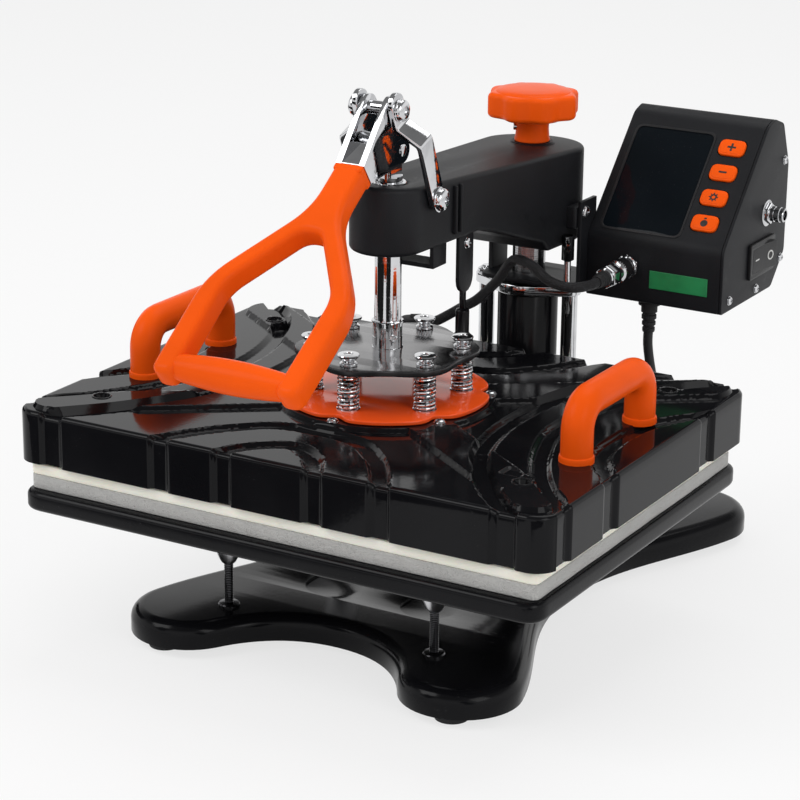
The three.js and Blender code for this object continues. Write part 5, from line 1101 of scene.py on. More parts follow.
def base_loop():
    """The plate's outline: one quarter drawn and mirrored to the other three."""
    front = bezier((0, WAIST_Y), (34.8, WAIST_Y), (56.6, -177.2), (69.5, -199.5), 14)
    turns = [math.radians(a) for a in range(213, 374, 7)]
    toe = [(LOBE_X + LOBE_RADIUS * math.cos(a), LOBE_Y + LOBE_RADIUS * math.sin(a)) for a in turns]
    side = bezier((144.6, -168.4), (129.2, -110.9), (WAIST_X, -70.07), (WAIST_X, 0), 20)
    quarter = front + toe + side
    right = quarter + [(x, -y) for x, y in quarter[-2::-1]]
    whole = right + [(-x, y) for x, y in right[-2:0:-1]]
    return [(x, y + BASE_MIDDLE_Y) for x, y in whole]


class PRESS_OT_base(bpy.types.Operator):
    """Cast base with four lobes, hollow underneath, two shallow channels on top and rubber feet"""
    bl_idname = "press.base"
    bl_label = "Base and feet"

    def execute(self, context):
        plate = flat("base_casting", [base_loop()], -2, BASE_TOP, 9, 7)
        cut(plate, block("below", -300, 300, -300, 500, -10, BASE_LOW))
        cut(plate, flat("base_room", [inset_loop(base_loop(), BASE_WALL)], -4, BASE_TOP - 7))
        for x in (-38, 38):
            cut(plate, flat("channel", [capsule_loop(x, -5, 140, 20)], BASE_TOP - 2, BASE_TOP + 4))
        rounded(plate, 0.8, 2, 60)
        bosses = [at(turned("boss", [(30, 0), (30, 12)], 40), 0, COLUMN_Y, BOSS_LOW)]
        bosses += [at(turned("boss", [(16, 0), (16, 12)], 32), x, y, BOSS_LOW) for _, (x, y, _) in FEET]
        shown(joined("base_casting", plate, *bosses), "base", "gloss_black", "gloss enamel", "base_plate")
        foot = turned("foot", [(9.6, 0), (11.2, 0.6), (11.8, 2), (12.9, 6), (13.1, 6.6), (12.7, 7.2)], 40)
        cut(foot, turned("foot_screw_well", [(4.4, -1), (4.4, 3.2)], 24))
        places = [("rubber_foot_" + name, place) for name, place in FEET]
        repeated(foot, places, "base", "foot_rubber", "rubber", lambda k: "foot_" + FEET[k][0])
        return {"FINISHED"}


class PRESS_OT_board(bpy.types.Operator):
    """Lower board with its rounded edge, on four studs with conical nuts"""
    bl_idname = "press.board"
    bl_label = "Lower board"

    def execute(self, context):
        board = flat("board", [box_loop(-194, 194, -152, 152, 16, 8)], BOARD_LOW, BOARD_TOP, 4, 5)
        shown(board, "base", "board_black", "board enamel", "lower_board")
        washer = turned("washer", [(12.5, 95.6), (12.9, 95.9), (12.9, 97.2), (12.5, BOARD_LOW)], 32)
        nut = turned(
            "nut", [(3.4, 56), (4.6, 56.6), (6, 59), (9.6, 67), (11.8, 74), (12.7, 80), (12.7, 95.6)], 24,
        )
        rounded(nut, 0.7, 2, 20)
        stud = self.thread("stud", 3.1, STUD_LOW, 57.5)
        collar = turned("collar", [(7.4, STUD_LOW), (7.4, 26.4), (6.8, 27.2), (3.2, 27.6)], 32)
        nuts = joined("cone_nut", nut, washer)
        rods = joined("stud_rod", stud, collar)
        repeated(nuts, numbered("cone_nut", STUD_SPOTS), "base", "chrome", "bright zinc")
        repeated(rods, numbered("stud_rod", STUD_SPOTS), "base", "chrome", "dark steel")
        return {"FINISHED"}

    def thread(self, name, radius, low, high, pitch=1.25):
        """A rod with the grooves of its thread drawn as rings."""
        rings = [(radius, low)]
        for k in range(int((high - low) / pitch)):
            z = low + pitch * k
            rings += [
                (radius, z + pitch * 0.15), (radius * 0.86, z + pitch * 0.5), (radius, z + pitch * 0.85),
            ]
        return turned(name, rings, 20)


class PRESS_OT_pad(bpy.types.Operator):
    """Work pad: grey foam with its cut edges and the cream silicone sheet on it"""
    bl_idname = "press.pad"
    bl_label = "Work pad"

    def execute(self, context):
        foam_top = BOARD_TOP + in_mm("foam")
        pad_top = foam_top + in_mm("silicone")
        self.layer("foam_layer", BOARD_TOP, foam_top, 0.9, "foam", "foam_pad", 0.35)
        self.layer("silicone_layer", foam_top, pad_top, 1.6, "silicone", "silicone_sheet", 0.15)
        return {"FINISHED"}

    def layer(self, name, low, high, edge, look, node, waviness):
        """One sheet of the pad, whose cut sides wave a little."""
        half_x, half_y = in_mm("pad_width") / 2, in_mm("pad_depth") / 2
        loop = box_loop(-half_x, half_x, -half_y, half_y, in_mm("pad_corner"))
        dense = []
        for a, b in zip(loop, loop[1:] + loop[:1]):
            steps = max(1, int(math.dist(a, b) / 6))
            dense += [
                (a[0] + (b[0] - a[0]) * k / steps, a[1] + (b[1] - a[1]) * k / steps) for k in range(steps)
            ]
        piece = flat(name, [dense], low, high, edge)
        for v in piece.data.vertices:
            if low + 0.01 < v.co.z < high - 0.01:
                pull = waviness * math.sin(v.co.x * 0.083 + v.co.y * 0.061) * math.sin(v.co.y * 0.027 + 1.3)
                v.co.x -= math.copysign(abs(pull), v.co.x) * (abs(v.co.x) > half_x - 3)
                v.co.y -= math.copysign(abs(pull), v.co.y) * (abs(v.co.y) > half_y - 3)
        shown(piece, "base", look, look, node)


class PRESS_OT_column(bpy.types.Operator):
    """Thick black column with its foot and the oval head with two tie rods"""
    bl_idname = "press.column"
    bl_label = "Column"

    def execute(self, context):
        tube = at(turned("column", [
            (30, STUD_LOW), (30, 28), (29, 29), (25.5, 30), (23, 32), (22, 35), (22, 193.6), (21.4, 194.6),
            (20.6, 195.2),
        ], 72), 0, COLUMN_Y, 0)
        cut(tube, at(turned("bore", [(16, 20), (16, 200)], 48), 0, COLUMN_Y, 0))
        shown(tube, "base", "gloss_black", "gloss enamel", "column_tube")
        ends = round_loop(10, 24, -32, COLUMN_Y) + round_loop(10, 24, 32, COLUMN_Y)
        oval = hull_loop(ends + round_loop(26, 48, 0, COLUMN_Y))
        head = flat("head_plate", [oval, round_loop(13, 36, 0, COLUMN_Y)[::-1]], 195.3, 203.3, 1.2)
        shown(head, "base", "chrome", "chrome", "column_head")
        rod = turned("rod", [
            (5.8, STUD_LOW), (8.4, 25), (8.4, 29), (7.6, 30), (5.8, 30.2), (5.8, 203.3), (7.2, 203.4),
            (7.2, 204.9), (6.2, 205.6), (5, 205.6), (4.6, 206.8), (3.4, 207.6),
        ], 40)
        places = [("tie_rod_left", (-34, COLUMN_Y, 0)), ("tie_rod_right", (34, COLUMN_Y, 0))]
        repeated(rod, places, "base", "chrome", "ground chrome")
        dressed("swing_post", "steel")
        return {"FINISHED"}


# Arm

ARM_NOSE, ARM_REAR = 26, 37.5
ARM_FALL = 0.059
KNOB_SEAT = 305


def arm_top(y):
    """The arm's top slopes down to the rear."""
    return 315.5 - ARM_FALL * y


def behind(piece):
    """A piece made on the z axis, moved to the column's axis."""
    return at(piece, 0, COLUMN_Y, 0)


class PRESS_OT_arm(bpy.types.Operator):
    """Cast swing arm: front boss, sloping top, stepped underside, ribs, lug and knob seat"""
    bl_idname = "press.arm"
    bl_label = "Swing arm"

    def execute(self, context):
        outline = hull_loop(round_loop(ARM_NOSE, 72) + round_loop(ARM_REAR, 96, 0, COLUMN_Y))
        arm = flat("arm", [outline], 190, 340)
        side = [
            (-60, 270.5), (72, 270.5), (90, 265.5), (157, 243.5), (165, 235.5), (280, 235.5),
            (280, arm_top(280)), (-60, arm_top(-60)),
        ]
        cut(arm, moved(flat("arm_profile", [side], -80, 80), SIDEWAYS), operation="INTERSECT")
        cut(arm, turned("shaft_bore", [(11.6, 260), (11.6, 330)], 48))
        cut(arm, behind(turned("post_bore", [(12.6, 220), (12.6, 283)], 48)))
        rounded(arm, 4.5, 5, 40)
        edit(arm)
        bpy.ops.mesh.remove_doubles(threshold=0.01)
        done()
        parts = [arm]
        rib_x = ARM_NOSE + (ARM_REAR - ARM_NOSE) * 41 / COLUMN_Y + 0.55
        for y0, y1 in ((36.3, 38.7), (43, 45.6)):
            for x in (-rib_x, rib_x):
                parts.append(rounded(block("rib", x - 2.1, x + 2.1, y0, y1, 276, 309), 1.0, 3, 30))
        lug = flat("lug", [box_loop(28, 44.4, 188, 208, 3)], 248, 264, 1.2)
        seat = turned("seat", [(17, 299), (16.4, 303.4), (15.4, 304.6), (14.8, KNOB_SEAT)], 48)
        cut(seat, turned("screw_bore", [(4.4, 290), (4.4, 320)], 24))
        cut(arm, behind(turned("screw_bore", [(4.4, 280), (4.4, 320)], 24)))
        parts += [lug, behind(seat)]
        shown(joined("arm", *parts), "arm", "satin_black", "powder coat", "arm_casting")
        ring = turned("bush_collar", [(11.5, 313), (11.5, 315.6), (11.1, 316.1)], 48)
        cut(ring, turned("bush_bore", [(9.3, 300), (9.3, 330)], 48))
        shown(ring, "arm", "chrome", "chrome")
        dressed("shaft_bush", "bronze")
        dressed("pressure_nut", "steel")
        dressed("pressure_screw", "steel")
        return {"FINISHED"}


def from_node(node, name, width, segments=2):
    """A sheet or plate of the frame, merged, its flats made whole and its edges broken."""
    piece = copied(bpy.data.objects[node], name)
    piece.hide_render = False
    piece.parent = None
    for key in list(piece.keys()):
        del piece[key]
    edit(piece)
    bpy.ops.mesh.remove_doubles(threshold=0.00001)
    bpy.ops.mesh.dissolve_limited(angle_limit=math.radians(1))
    done()
    moved(piece, TO_ROW.inverted())
    return rounded(piece, width, segments)


def pan_screw(name, radius):
    """A pan head screw with a cross recess, standing on the z axis."""
    head = turned(name, [
        (radius * 1.12, 0), (radius * 1.12, 0.5), (radius, 0.6), (radius * 0.98, 1.3), (radius * 0.8, 1.95),
        (radius * 0.5, 2.3),
    ], 32)
    width, reach = radius * 0.14, radius * 0.52
    cut(head, block("slot", -reach, reach, -width, width, 1.2, 4))
    cut(head, block("slot", -width, width, -reach, reach, 1.2, 4))
    return head


def screws_at(name, screws):
    """Screws in one piece, each given as its radius, the way it faces and its place."""
    return joined(name, *[
        moved(pan_screw("screw", radius), facing(direction, place)) for radius, direction, place in screws
    ])


class PRESS_OT_brackets(bpy.types.Operator):
    """Cable loop, stop plate and box bracket with their small screws"""
    bl_idname = "press.brackets"
    bl_label = "Brackets"

    def execute(self, context):
        for node, name, edge in (
            ("cable_loop", "cable_loop_strip", 0.5), ("stop_plate", "stop_blade", 0.7),
            ("box_bracket", "box_bracket_sheet", 0.5),
        ):
            shown(from_node(node, name, edge), "arm", "satin_black", "powder coat", node)
        screws = screws_at("bracket_screws", [
            (4.3, ACROSS, (47.7, 196, 260)), (4.3, ACROSS, (47.7, 207, 226)), (3.6, ACROSS, (25.1, 62, 264)),
        ])
        shown(screws, "arm", "chrome", "chrome")
        stud = joined(
            "bracket_stud",
            at(turned("stud", [(2.5, 206), (2.5, 226)], 20), 42, 181.5, 0),
            at(rounded(turned("stud_nut", [(4.6, 227), (4.6, 245)], 6), 0.5, 2, 20), 42, 181.5, 0),
        )
        shown(stud, "arm", "chrome", "chrome")
        return {"FINISHED"}


# Linkage and lever

STRAP_LEAN = math.radians(112.6)
STRAP_ALONG = Vector((0, math.cos(STRAP_LEAN), math.sin(STRAP_LEAN)))
STRAP_HALF = 7.5
STRAP_LENGTH = 71.4
STRAP_BASIS = basis(ACROSS, STRAP_ALONG, ACROSS.cross(STRAP_ALONG), ANCHOR)
SHAFT_RADIUS = 9
CHEEK_INNER, CHEEK_OUTER, CHEEK_HALF = 6.5, 10.5, 8.5
FORK_END, FORK_END_HALF = 54.7, 8
GRIP_HALF = 41
FORK_BASIS = basis(ACROSS, LEVER_ALONG, ACROSS.cross(LEVER_ALONG), (0, 0, 361.70))


def pair(piece, name):
    """The piece and its mirror image, named for their sides."""
    left = copied(piece, name + "_left", MIRROR)
    piece.name = name + "_right"
    return (piece, "right"), (left, "left")


class PRESS_OT_links(bpy.types.Operator):
    """Two bent chrome straps and the domed bolts that carry them"""
    bl_idname = "press.links"
    bl_label = "Links"

    def execute(self, context):
        bend = [
            (31.2, -STRAP_HALF), (31.2, 43.6), (30.6, 46.0), (16.2, 56.4), (15.4, 58.6), (15.4, 79),
            (11.4, 79), (11.4, 56.6), (12.2, 54.4), (26.6, 44.0), (27.2, 42.0), (27.2, -STRAP_HALF),
        ]
        strap = flat("strap", [bend], -STRAP_HALF, STRAP_HALF)
        ends = flat("strap_ends", [capsule_loop(0, 0, STRAP_LENGTH, STRAP_HALF)], 0, 40)
        cut(strap, tidy(moved(ends, basis((0, 0, -1), (0, 1, 0), ACROSS))), operation="INTERSECT")
        rounded(strap, 0.7, 3, 30)
        for piece, side in pair(moved(strap, STRAP_BASIS), "strap"):
            shown(piece, "links", "chrome", "chrome", "link_" + side)
        bolt = turned("bolt", [
            (8.4, 31.3), (8.4, 32.2), (7.5, 32.4), (7.5, 34.2), (7.1, 35.1), (5.9, 36.0), (4.2, 36.6),
            (2.9, 36.8), (2.7, 35.2), (0.8, 35.1),
        ], 40)
        whole = joined("bolt", bolt, turned("shank", [(3.5, 20), (3.5, 32)], 24))
        for piece, side in pair(moved(whole, facing(ACROSS, ANCHOR)), "link_bolt_dome"):
            shown(piece, "arm", "chrome", "chrome", "link_bolt_" + side)
        return {"FINISHED"}


class PRESS_OT_shaft(bpy.types.Operator):
    """Press shaft with its flat tongue, collar and scalloped pressure disc"""
    bl_idname = "press.shaft"
    bl_label = "Shaft and disc"

    def execute(self, context):
        top = CRANK.z + SHAFT_RADIUS
        shaft = turned("shaft", [(SHAFT_RADIUS, DISC_TOP - 2), (SHAFT_RADIUS, top)], 72)
        for side in (-1, 1):
            cut(shaft, block("flat", side * 5.7, side * 20, -20, 20, 320, top + 5))
        tongue = flat("tongue_end", [capsule_loop(0, -140, 0, SHAFT_RADIUS)], -20, 20)
        cut(shaft, moved(tongue, basis((0, 1, 0), (0, 0, 1), ACROSS, CRANK)), operation="INTERSECT")
        rounded(shaft, 0.6, 2, 40)
        shown(shaft, "shaft", "chrome", "ground chrome", "press_shaft")
        collar = turned("collar", [
            (10.4, 202.9), (10.4, 203.5), (9.9, 203.8), (9.9, 210.6), (9.7, 210.8), (9.7, 211.2),
            (9.9, 211.4), (9.9, 220.6), (10.7, 220.8), (10.7, 221.6), (10.2, 222),
        ], 64)
        cut(collar, turned("collar_bore", [(SHAFT_RADIUS + 0.02, 190), (SHAFT_RADIUS + 0.02, 230)], 64))
        heading = Vector((0.8, -0.6, 0))
        grub = moved(
            turned("grub", [(2.6, -1), (2.6, 0.9), (2.1, 1.3), (1.2, 1.3), (1.1, 0.6)], 24),
            facing(heading, heading * 9.9 + Vector((0, 0, 211))),
        )
        shown(joined("shaft_collar", collar, grub), "shaft", "steel", "ground chrome")
        scallops = waved_loop(in_mm("disc_radius"), 3.2, 6, SIXTHS[0], 240)
        disc = flat("scalloped_disc", [scallops], DISC_LOW, DISC_TOP, 0.8)
        holes = [at(turned("bolt_hole", [(5.6, 190), (5.6, 210)], 32), x, y, 0) for x, y in BOLT_SPOTS]
        cut(disc, *holes)
        shown(disc, "shaft", "steel", "polished disc", "pressure_disc")
        return {"FINISHED"}


class PRESS_OT_lever(bpy.types.Operator):
    """Chrome fork with two cheeks and a tang, its cross pins, and the orange loop handle"""
    bl_idname = "press.lever"
    bl_label = "Lever"

    def execute(self, context):
        self.fork()
        self.pins()
        self.handle()
        return {"FINISHED"}

    def fork(self):
        """Two cheeks round the pins, the web behind them and the tang in the handle."""
        inverse = FORK_BASIS.inverted()
        outline = [(FORK_END, -FORK_END_HALF), (FORK_END, FORK_END_HALF)]
        for pin in (inverse @ JOINT, inverse @ CRANK):
            outline += round_loop(CHEEK_HALF, 40, pin.y, pin.z)
        cheek = tidy(moved(flat("cheek", [hull_loop(outline)], CHEEK_INNER, CHEEK_OUTER), SIDEWAYS))
        rounded(cheek, 0.9, 3, 40)
        mirror = copied(cheek, "cheek_left", MIRROR)
        web = flat("web", [box_loop(-10.2, 10.2, 35, FORK_END, 2)], -FORK_END_HALF, FORK_END_HALF, 1.1)
        tang = flat("tang", [box_loop(-6, 6, 50, 89, 1)], -4.5, 4.5, 0.8)
        fork = joined("fork_casting", cheek, mirror, web, tang)
        shown(moved(fork, FORK_BASIS), "lever", "chrome", "chrome", "lever_fork")

    def pins(self):
        """The upper pin with its spacer and two domed heads, and the lower pin."""
        head = turned("pin_head", [
            (7.6, 15.6), (7.6, 16.4), (7.2, 16.6), (7.2, 18.3), (6.7, 19.2), (5.5, 20.0), (3.9, 20.4),
            (3.1, 20.5), (2.9, 19.2), (1.2, 19.0),
        ], 40)
        pin = turned("pin", [(3, -16), (3, 16)], 24)
        pieces = [pin, turned("spacer", [(4.6, -6.2), (4.6, 6.2)], 32), head]
        pieces = [moved(piece, facing(ACROSS, JOINT)) for piece in pieces]
        whole = joined("upper_cross_pin", *pieces, copied(head, "pin_head_left", MIRROR))
        shown(whole, "lever", "chrome", "chrome", "upper_pin")
        lower = turned("lower_cross_pin", [(2.8, -11.3), (4, -10.9), (4, 10.9), (2.8, 11.3)], 32)
        shown(moved(lower, facing(ACROSS, CRANK)), "lever", "chrome", "chrome", "lower_pin")

    def handle(self):
        """A flat forked loop, the swelling grip across its end and the socket for the tang."""
        arms = rounded_loop([
            (-10.5, 55, 5), (10.5, 55, 5), (10.5, 94, 16), (54, 160, 18), (53, 237, 7.5), (36.5, 237, 7.5),
            (38.5, 160, 10), (7, 112, 6), (-7, 112, 6), (-38.5, 160, 10), (-36.5, 237, 7.5), (-53, 237, 7.5),
            (-54, 160, 18), (-10.5, 94, 16),
        ], 8)
        body = flat("loop_handle", [arms], -9, 9, 4.6, 5)
        steps = [k / 12 for k in range(-12, 13)]
        points = [(GRIP_HALF * t, 226.5, 0) for t in steps]
        swell = [(8.4 + 2.6 * math.cos(math.pi / 2 * t)) / 9.2 for t in steps]
        grip = bar("grip", points, in_mm("grip"), 7, radii=swell)
        socket = flat("socket", [box_loop(-10.5, 10.5, 54.6, 60, 2)], -9, 9, 1.6)
        handle = joined("loop_handle", body, grip, socket)
        shown(moved(handle, FORK_BASIS), "lever", "orange", "orange moulding", "lever_handle")


class PRESS_OT_knob(bpy.types.Operator):
    """Pressure knob with eight lobes, neck and grub screw"""
    bl_idname = "press.knob"
    bl_label = "Pressure knob"

    def execute(self, context):
        knob = flat("knob", [waved_loop(in_mm("knob_radius"), 1.9, 8, 0, 192)], 323, 341, 3.6, 6)
        dome = turned("knob_crown", [(27.4, 340.6), (26.2, 341.6), (20, 342.6), (10, 343.1)], 64)
        skirt = turned("skirt", [(22, 324.4), (22, 321.6), (20.5, 320.8), (13.2, 320.4)], 64)
        neck = turned("neck", [(12.6, 305.3), (12.9, 306), (12.2, 309), (11.8, 314), (11.9, 323.5)], 64)
        whole = joined("knob", knob, dome, skirt, neck)
        shown(behind(whole), "knob", "orange", "orange moulding", "pressure_knob")
        heading = Vector((-0.86, -0.5, 0))
        grub = turned("knob_grub", [(2.6, -2), (2.6, 1.6), (2.2, 2.0), (1.3, 2.0), (1.2, 0.8)], 20)
        moved(grub, facing(heading, Vector((0, COLUMN_Y, 315)) + heading * 11.8))
        shown(grub, "knob", "chrome", "chrome")
        return {"FINISHED"}


# Heated platen

HALF_X, HALF_Y, COVER_CORNER = 199.0, 150.0, 16.0
REACH_X, REACH_Y = HALF_X - COVER_CORNER, HALF_Y - COVER_CORNER
DECK, RAISED, RIM, ROOM_TOP = 167.0, 170.0, 131.0, 160.0
COVER_WALL = 7.5
# The middle lines of the curved channels, as shares of the cover's half width and half depth
OUTER_CHANNEL = [
    (0.86, -1.02), (0.673, -0.733), (0.53, -0.4), (0.472, 0.03), (0.51, 0.47), (0.61, 0.76), (0.77, 1.02),
]
MIDDLE_CHANNEL = [
    (1.02, -0.88), (0.855, -0.66), (0.71, -0.32), (0.633, 0.06), (0.69, 0.5), (0.8, 0.78), (0.94, 0.98),
]
INNER_CHANNEL = [(1.02, -0.46), (0.89, -0.25), (0.852, 0.03), (0.89, 0.32), (1.02, 0.58)]
WIDE_ARCH = [(-0.422, 1.02), (-0.35, 0.853), (-0.26, 0.7), (-0.15, 0.585), (0, 0.56)]
NARROW_ARCH = [(-0.176, 1.02), (-0.12, 0.88), (0, 0.775)]
CHANNEL_TOP, CHANNEL_FLOOR = 7.3, 4.4
MIDDLE_RADIUS = 74
STRIP_END, STRIP_HALF = Vector((177, 128)), 17.0
HOLE, HOLE_RADIUS, HOLE_DEPTH = (158, 106), 5, 3.2
DENT, DENT_HALF, DENT_DEPTH = (145, -91.5), (7, 6), 1.2
# The grid's pitch, and half the width of a step and of a hole's edge
GRID, STEP_HALF, HOLE_HALF = 1.25, 1.2, 0.6
SQUEEZED = 10
WALL_ROWS = 6
HANDLE_X, HANDLE_REACH, HANDLE_TOP, HANDLE_BEND = 165, 46, 203.5, 17
NOTCH_CIRCLE, NOTCH_DEPTH, NOTCH_WIDTH = 69.5, 6.4, 6.4
SPRING_RADIUS, SPRING_TURNS, SPRING_STEPS = 6.5, 9.5, 22
SPRING_LOW, SPRING_HIGH = 174.9, 198.0


def channel_lines():
    lines = []
    for table in (OUTER_CHANNEL, MIDDLE_CHANNEL, INNER_CHANNEL):
        for side in (-1, 1):
            lines.append([(side * x * HALF_X, y * HALF_Y, 0) for x, y in table])
    for table in (WIDE_ARCH, NARROW_ARCH):
        whole = table + [(-x, y) for x, y in table[-2::-1]]
        for side in (-1, 1):
            lines.append([(x * HALF_X, side * y * HALF_Y, 0) for x, y in whole])
    return lines


def corner_snap(x, y):
    """A point outside the cover's rounded corners is drawn back on to them."""
    offset = Vector((abs(x) - REACH_X, abs(y) - REACH_Y))
    if min(offset) <= 0 or offset.length <= COVER_CORNER - 0.4:
        return x, y
    offset = offset.normalized() * COVER_CORNER
    return math.copysign(REACH_X + offset.x, x), math.copysign(REACH_Y + offset.y, y)


def pad_distance(x, y):
    """Distance from the edge of the raised parts: the round middle and the four diagonal strips."""
    p = Vector((abs(x), abs(y)))
    share = share_of(p.dot(STRIP_END), 0, STRIP_END.dot(STRIP_END))
    return min(p.length - MIDDLE_RADIUS, (p - STRIP_END * share).length - STRIP_HALF)


def hole_distance(x, y):
    """Distance from the edge of the nearest of the four screw holes."""
    return math.dist((abs(x), abs(y)), HOLE) - HOLE_RADIUS


def drawn_to(field, x, y, line):
    """The nearest point at which a distance field has the value of the line."""
    step = 0.2
    lean_x = (field(x + step, y) - field(x - step, y)) / (2 * step)
    lean_y = (field(x, y + step) - field(x, y - step)) / (2 * step)
    short = line - field(x, y)
    return x + lean_x * short, y + lean_y * short


class PRESS_OT_cover(bpy.types.Operator):
    """Gloss cover: raised strips, curved channels that run down its sides, rounded rim and clip"""
    bl_idname = "press.cover"
    bl_label = "Platen cover"

    def execute(self, context):
        tree = self.channel_tree()
        clear()
        bpy.ops.mesh.primitive_grid_add(
            x_subdivisions=int(2 * HALF_X / GRID), y_subdivisions=int(2 * HALF_Y / GRID), size=2,
        )
        cover = context.active_object
        cover.name = cover.data.name = "cover_shell"
        depth, edge_radius = in_mm("cover_channel"), in_mm("cover_edge")
        edges = {}
        for v in cover.data.vertices:
            x, y, far, edges[v.index] = self.snapped(tree, v.co)
            height, drop = self.relief(x, y, far, depth)
            v.co = self.drawn_in(x, y, height, edge_radius + depth * drop)
        self.creased(cover, edges)
        self.walls(cover)
        parts = [cover]
        for y in (-HOLE[1], HOLE[1]):
            for x in (-HOLE[0], HOLE[0]):
                ring = [(*spot, DECK + 2.9) for spot in round_loop(6.1, 40)]
                parts.append(at(bar("hole_ring", ring, 0.7, 3, cyclic=True), x, y, 0))
        post = turned("clip", [
            (8, 163.5), (8, 171), (6.2, 172.5), (5, 174), (5, 190), (4.4, 191.4), (2.4, 192), (2.4, 205),
            (1.5, 206),
        ], 40)
        parts.append(at(post, -20, 140, 0))
        shell = joined("cover_shell", *parts)
        shown(shell, "platen", "cover_black", "cover enamel", "platen_cover", smooth=52)
        dressed("insulation_board", "fibre board")
        dressed("heating_plate", "aluminium")
        return {"FINISHED"}

    def snapped(self, tree, spot):
        """A grid point drawn to the edge line beside it, its distance from a channel, and that line."""
        x, y = corner_snap(spot.x * HALF_X, spot.y * HALF_Y)
        free_x, free_y = abs(spot.x) < 0.995, abs(spot.y) < 0.993
        near, _, far = tree.find((x, y, 0))
        for line in (CHANNEL_TOP, CHANNEL_FLOOR):
            if abs(far - line) < GRID * 0.6 and far > 0.5:
                push = (Vector((x, y, 0)) - near).normalized() * (line - far)
                return x + push.x * free_x, y + push.y * free_y, line, ("channel", line)
        if free_x and free_y and far > CHANNEL_TOP + GRID:
            for field, half in ((hole_distance, HOLE_HALF), (pad_distance, STEP_HALF)):
                for line in (-half, half):
                    if abs(field(x, y) - line) < GRID * 0.55:
                        x, y = drawn_to(field, x, y, line)
                        return x, y, far, (field, line)
        return x, y, far, None

    def relief(self, x, y, far, depth):
        """The cover's height at a place, and how far it has dropped into a channel, from 0 to 1."""
        hole = hole_distance(x, y)
        drop = (1 - share_of(far, CHANNEL_FLOOR, CHANNEL_TOP)) * share_of(hole, 3.6, 5.4)
        rise = 1 - share_of(pad_distance(x, y), -STEP_HALF, STEP_HALF)
        height = DECK + (RAISED - DECK) * rise
        height = height * (1 - drop) + (DECK - depth) * drop
        if drop < 0.5:
            height -= HOLE_DEPTH * (1 - share_of(hole, -HOLE_HALF, HOLE_HALF))
            if abs(x - DENT[0]) < DENT_HALF[0] and abs(y - DENT[1]) < DENT_HALF[1]:
                height -= DENT_DEPTH
        return height, drop

    def creased(self, cover, edges):
        """Each square of the grid is cut along the edge line that crosses it, so that no edge is toothed."""
        build = bmesh.new()
        build.from_mesh(cover.data)
        for face in list(build.faces):
            lines = [edges[v.index] for v in face.verts]
            along, across = lines[0] and lines[0] == lines[2], lines[1] and lines[1] == lines[3]
            if bool(along) != bool(across):
                start = 0 if along else 1
                bmesh.utils.face_split(face, face.verts[start], face.verts[start + 2])
        build.to_mesh(cover.data)
        build.free()

    def channel_tree(self):
        spots = [spot for line in channel_lines() for spot in smooth_route(line, 60)]
        tree = KDTree(len(spots))
        for number, spot in enumerate(spots):
            tree.insert(spot, number)
        tree.balance()
        return tree

    def wall_rows(self):
        """Each row of the rim: how far in it lies, whether it follows the channels, and its height."""
        edge = in_mm("cover_edge")

        def bent(angle):
            return lambda z: z - edge * (1 - math.cos(angle))

        def fallen(share):
            return lambda z: (min(z, DECK) - edge) * (1 - share) + RIM * share

        bends = [math.radians(22.5 * k) for k in range(1, 5)]
        rows = [(edge * (1 - math.sin(a)), True, bent(a)) for a in bends]
        rows += [(0, True, fallen(k / WALL_ROWS)) for k in range(1, WALL_ROWS + 1)]
        return rows + [(COVER_WALL, False, lambda z: RIM), (COVER_WALL, False, lambda z: ROOM_TOP)]

    def walls(self, cover):
        """The rim of the grid drawn over the rounded edge, down the sides and up again inside."""
        build = bmesh.new()
        build.from_mesh(cover.data)
        bmesh.ops.remove_doubles(build, verts=build.verts, dist=0.05)
        ring = [e for e in build.edges if e.is_boundary]
        home = {}
        for v in {v for e in ring for v in e.verts}:
            deep = max(0.0, DECK - v.co.z)
            home[v] = (self.pulled(v.co, -in_mm("cover_edge") - deep, v.co.z), deep)
        for pull, follows, height_at in self.wall_rows():
            made = bmesh.ops.extrude_edge_only(build, edges=ring)["geom"]
            fresh = {}
            for v in made:
                if isinstance(v, bmesh.types.BMVert):
                    others = [link.other_vert(v) for link in v.link_edges]
                    fresh[v] = next(home[other] for other in others if other in home)
            for v, (spot, deep) in fresh.items():
                v.co = self.pulled(spot, pull + deep * follows, height_at(spot.z))
            home = fresh
            ring = [g for g in made if isinstance(g, bmesh.types.BMEdge) and g.is_boundary]
        bmesh.ops.edgeloop_fill(build, edges=ring)
        bmesh.ops.recalc_face_normals(build, faces=build.faces)
        build.to_mesh(cover.data)
        build.free()

    def drawn_in(self, x, y, height, amount):
        """Room made for the rounded edge: the last few millimetres of the deck are squeezed inwards."""
        over_x, over_y = abs(x) - REACH_X, abs(y) - REACH_Y
        over = math.hypot(over_x, over_y) if min(over_x, over_y) > 0 else max(over_x, over_y)
        inset = max(COVER_CORNER - over, 0)
        return self.pulled(Vector((x, y)), amount * (1 - min(inset / SQUEEZED, 1)), height)

    def pulled(self, spot, distance, height):
        """A place on the outline moved straight inwards."""
        over = Vector((max(abs(spot.x) - REACH_X, 0), max(abs(spot.y) - REACH_Y, 0)))
        if min(over) > 0:
            way = over.normalized()
        else:
            way = Vector((1, 0)) if over.x >= over.y else Vector((0, 1))
        return Vector((
            spot.x - distance * math.copysign(way.x, spot.x),
            spot.y - distance * math.copysign(way.y, spot.y),
            height,
        ))


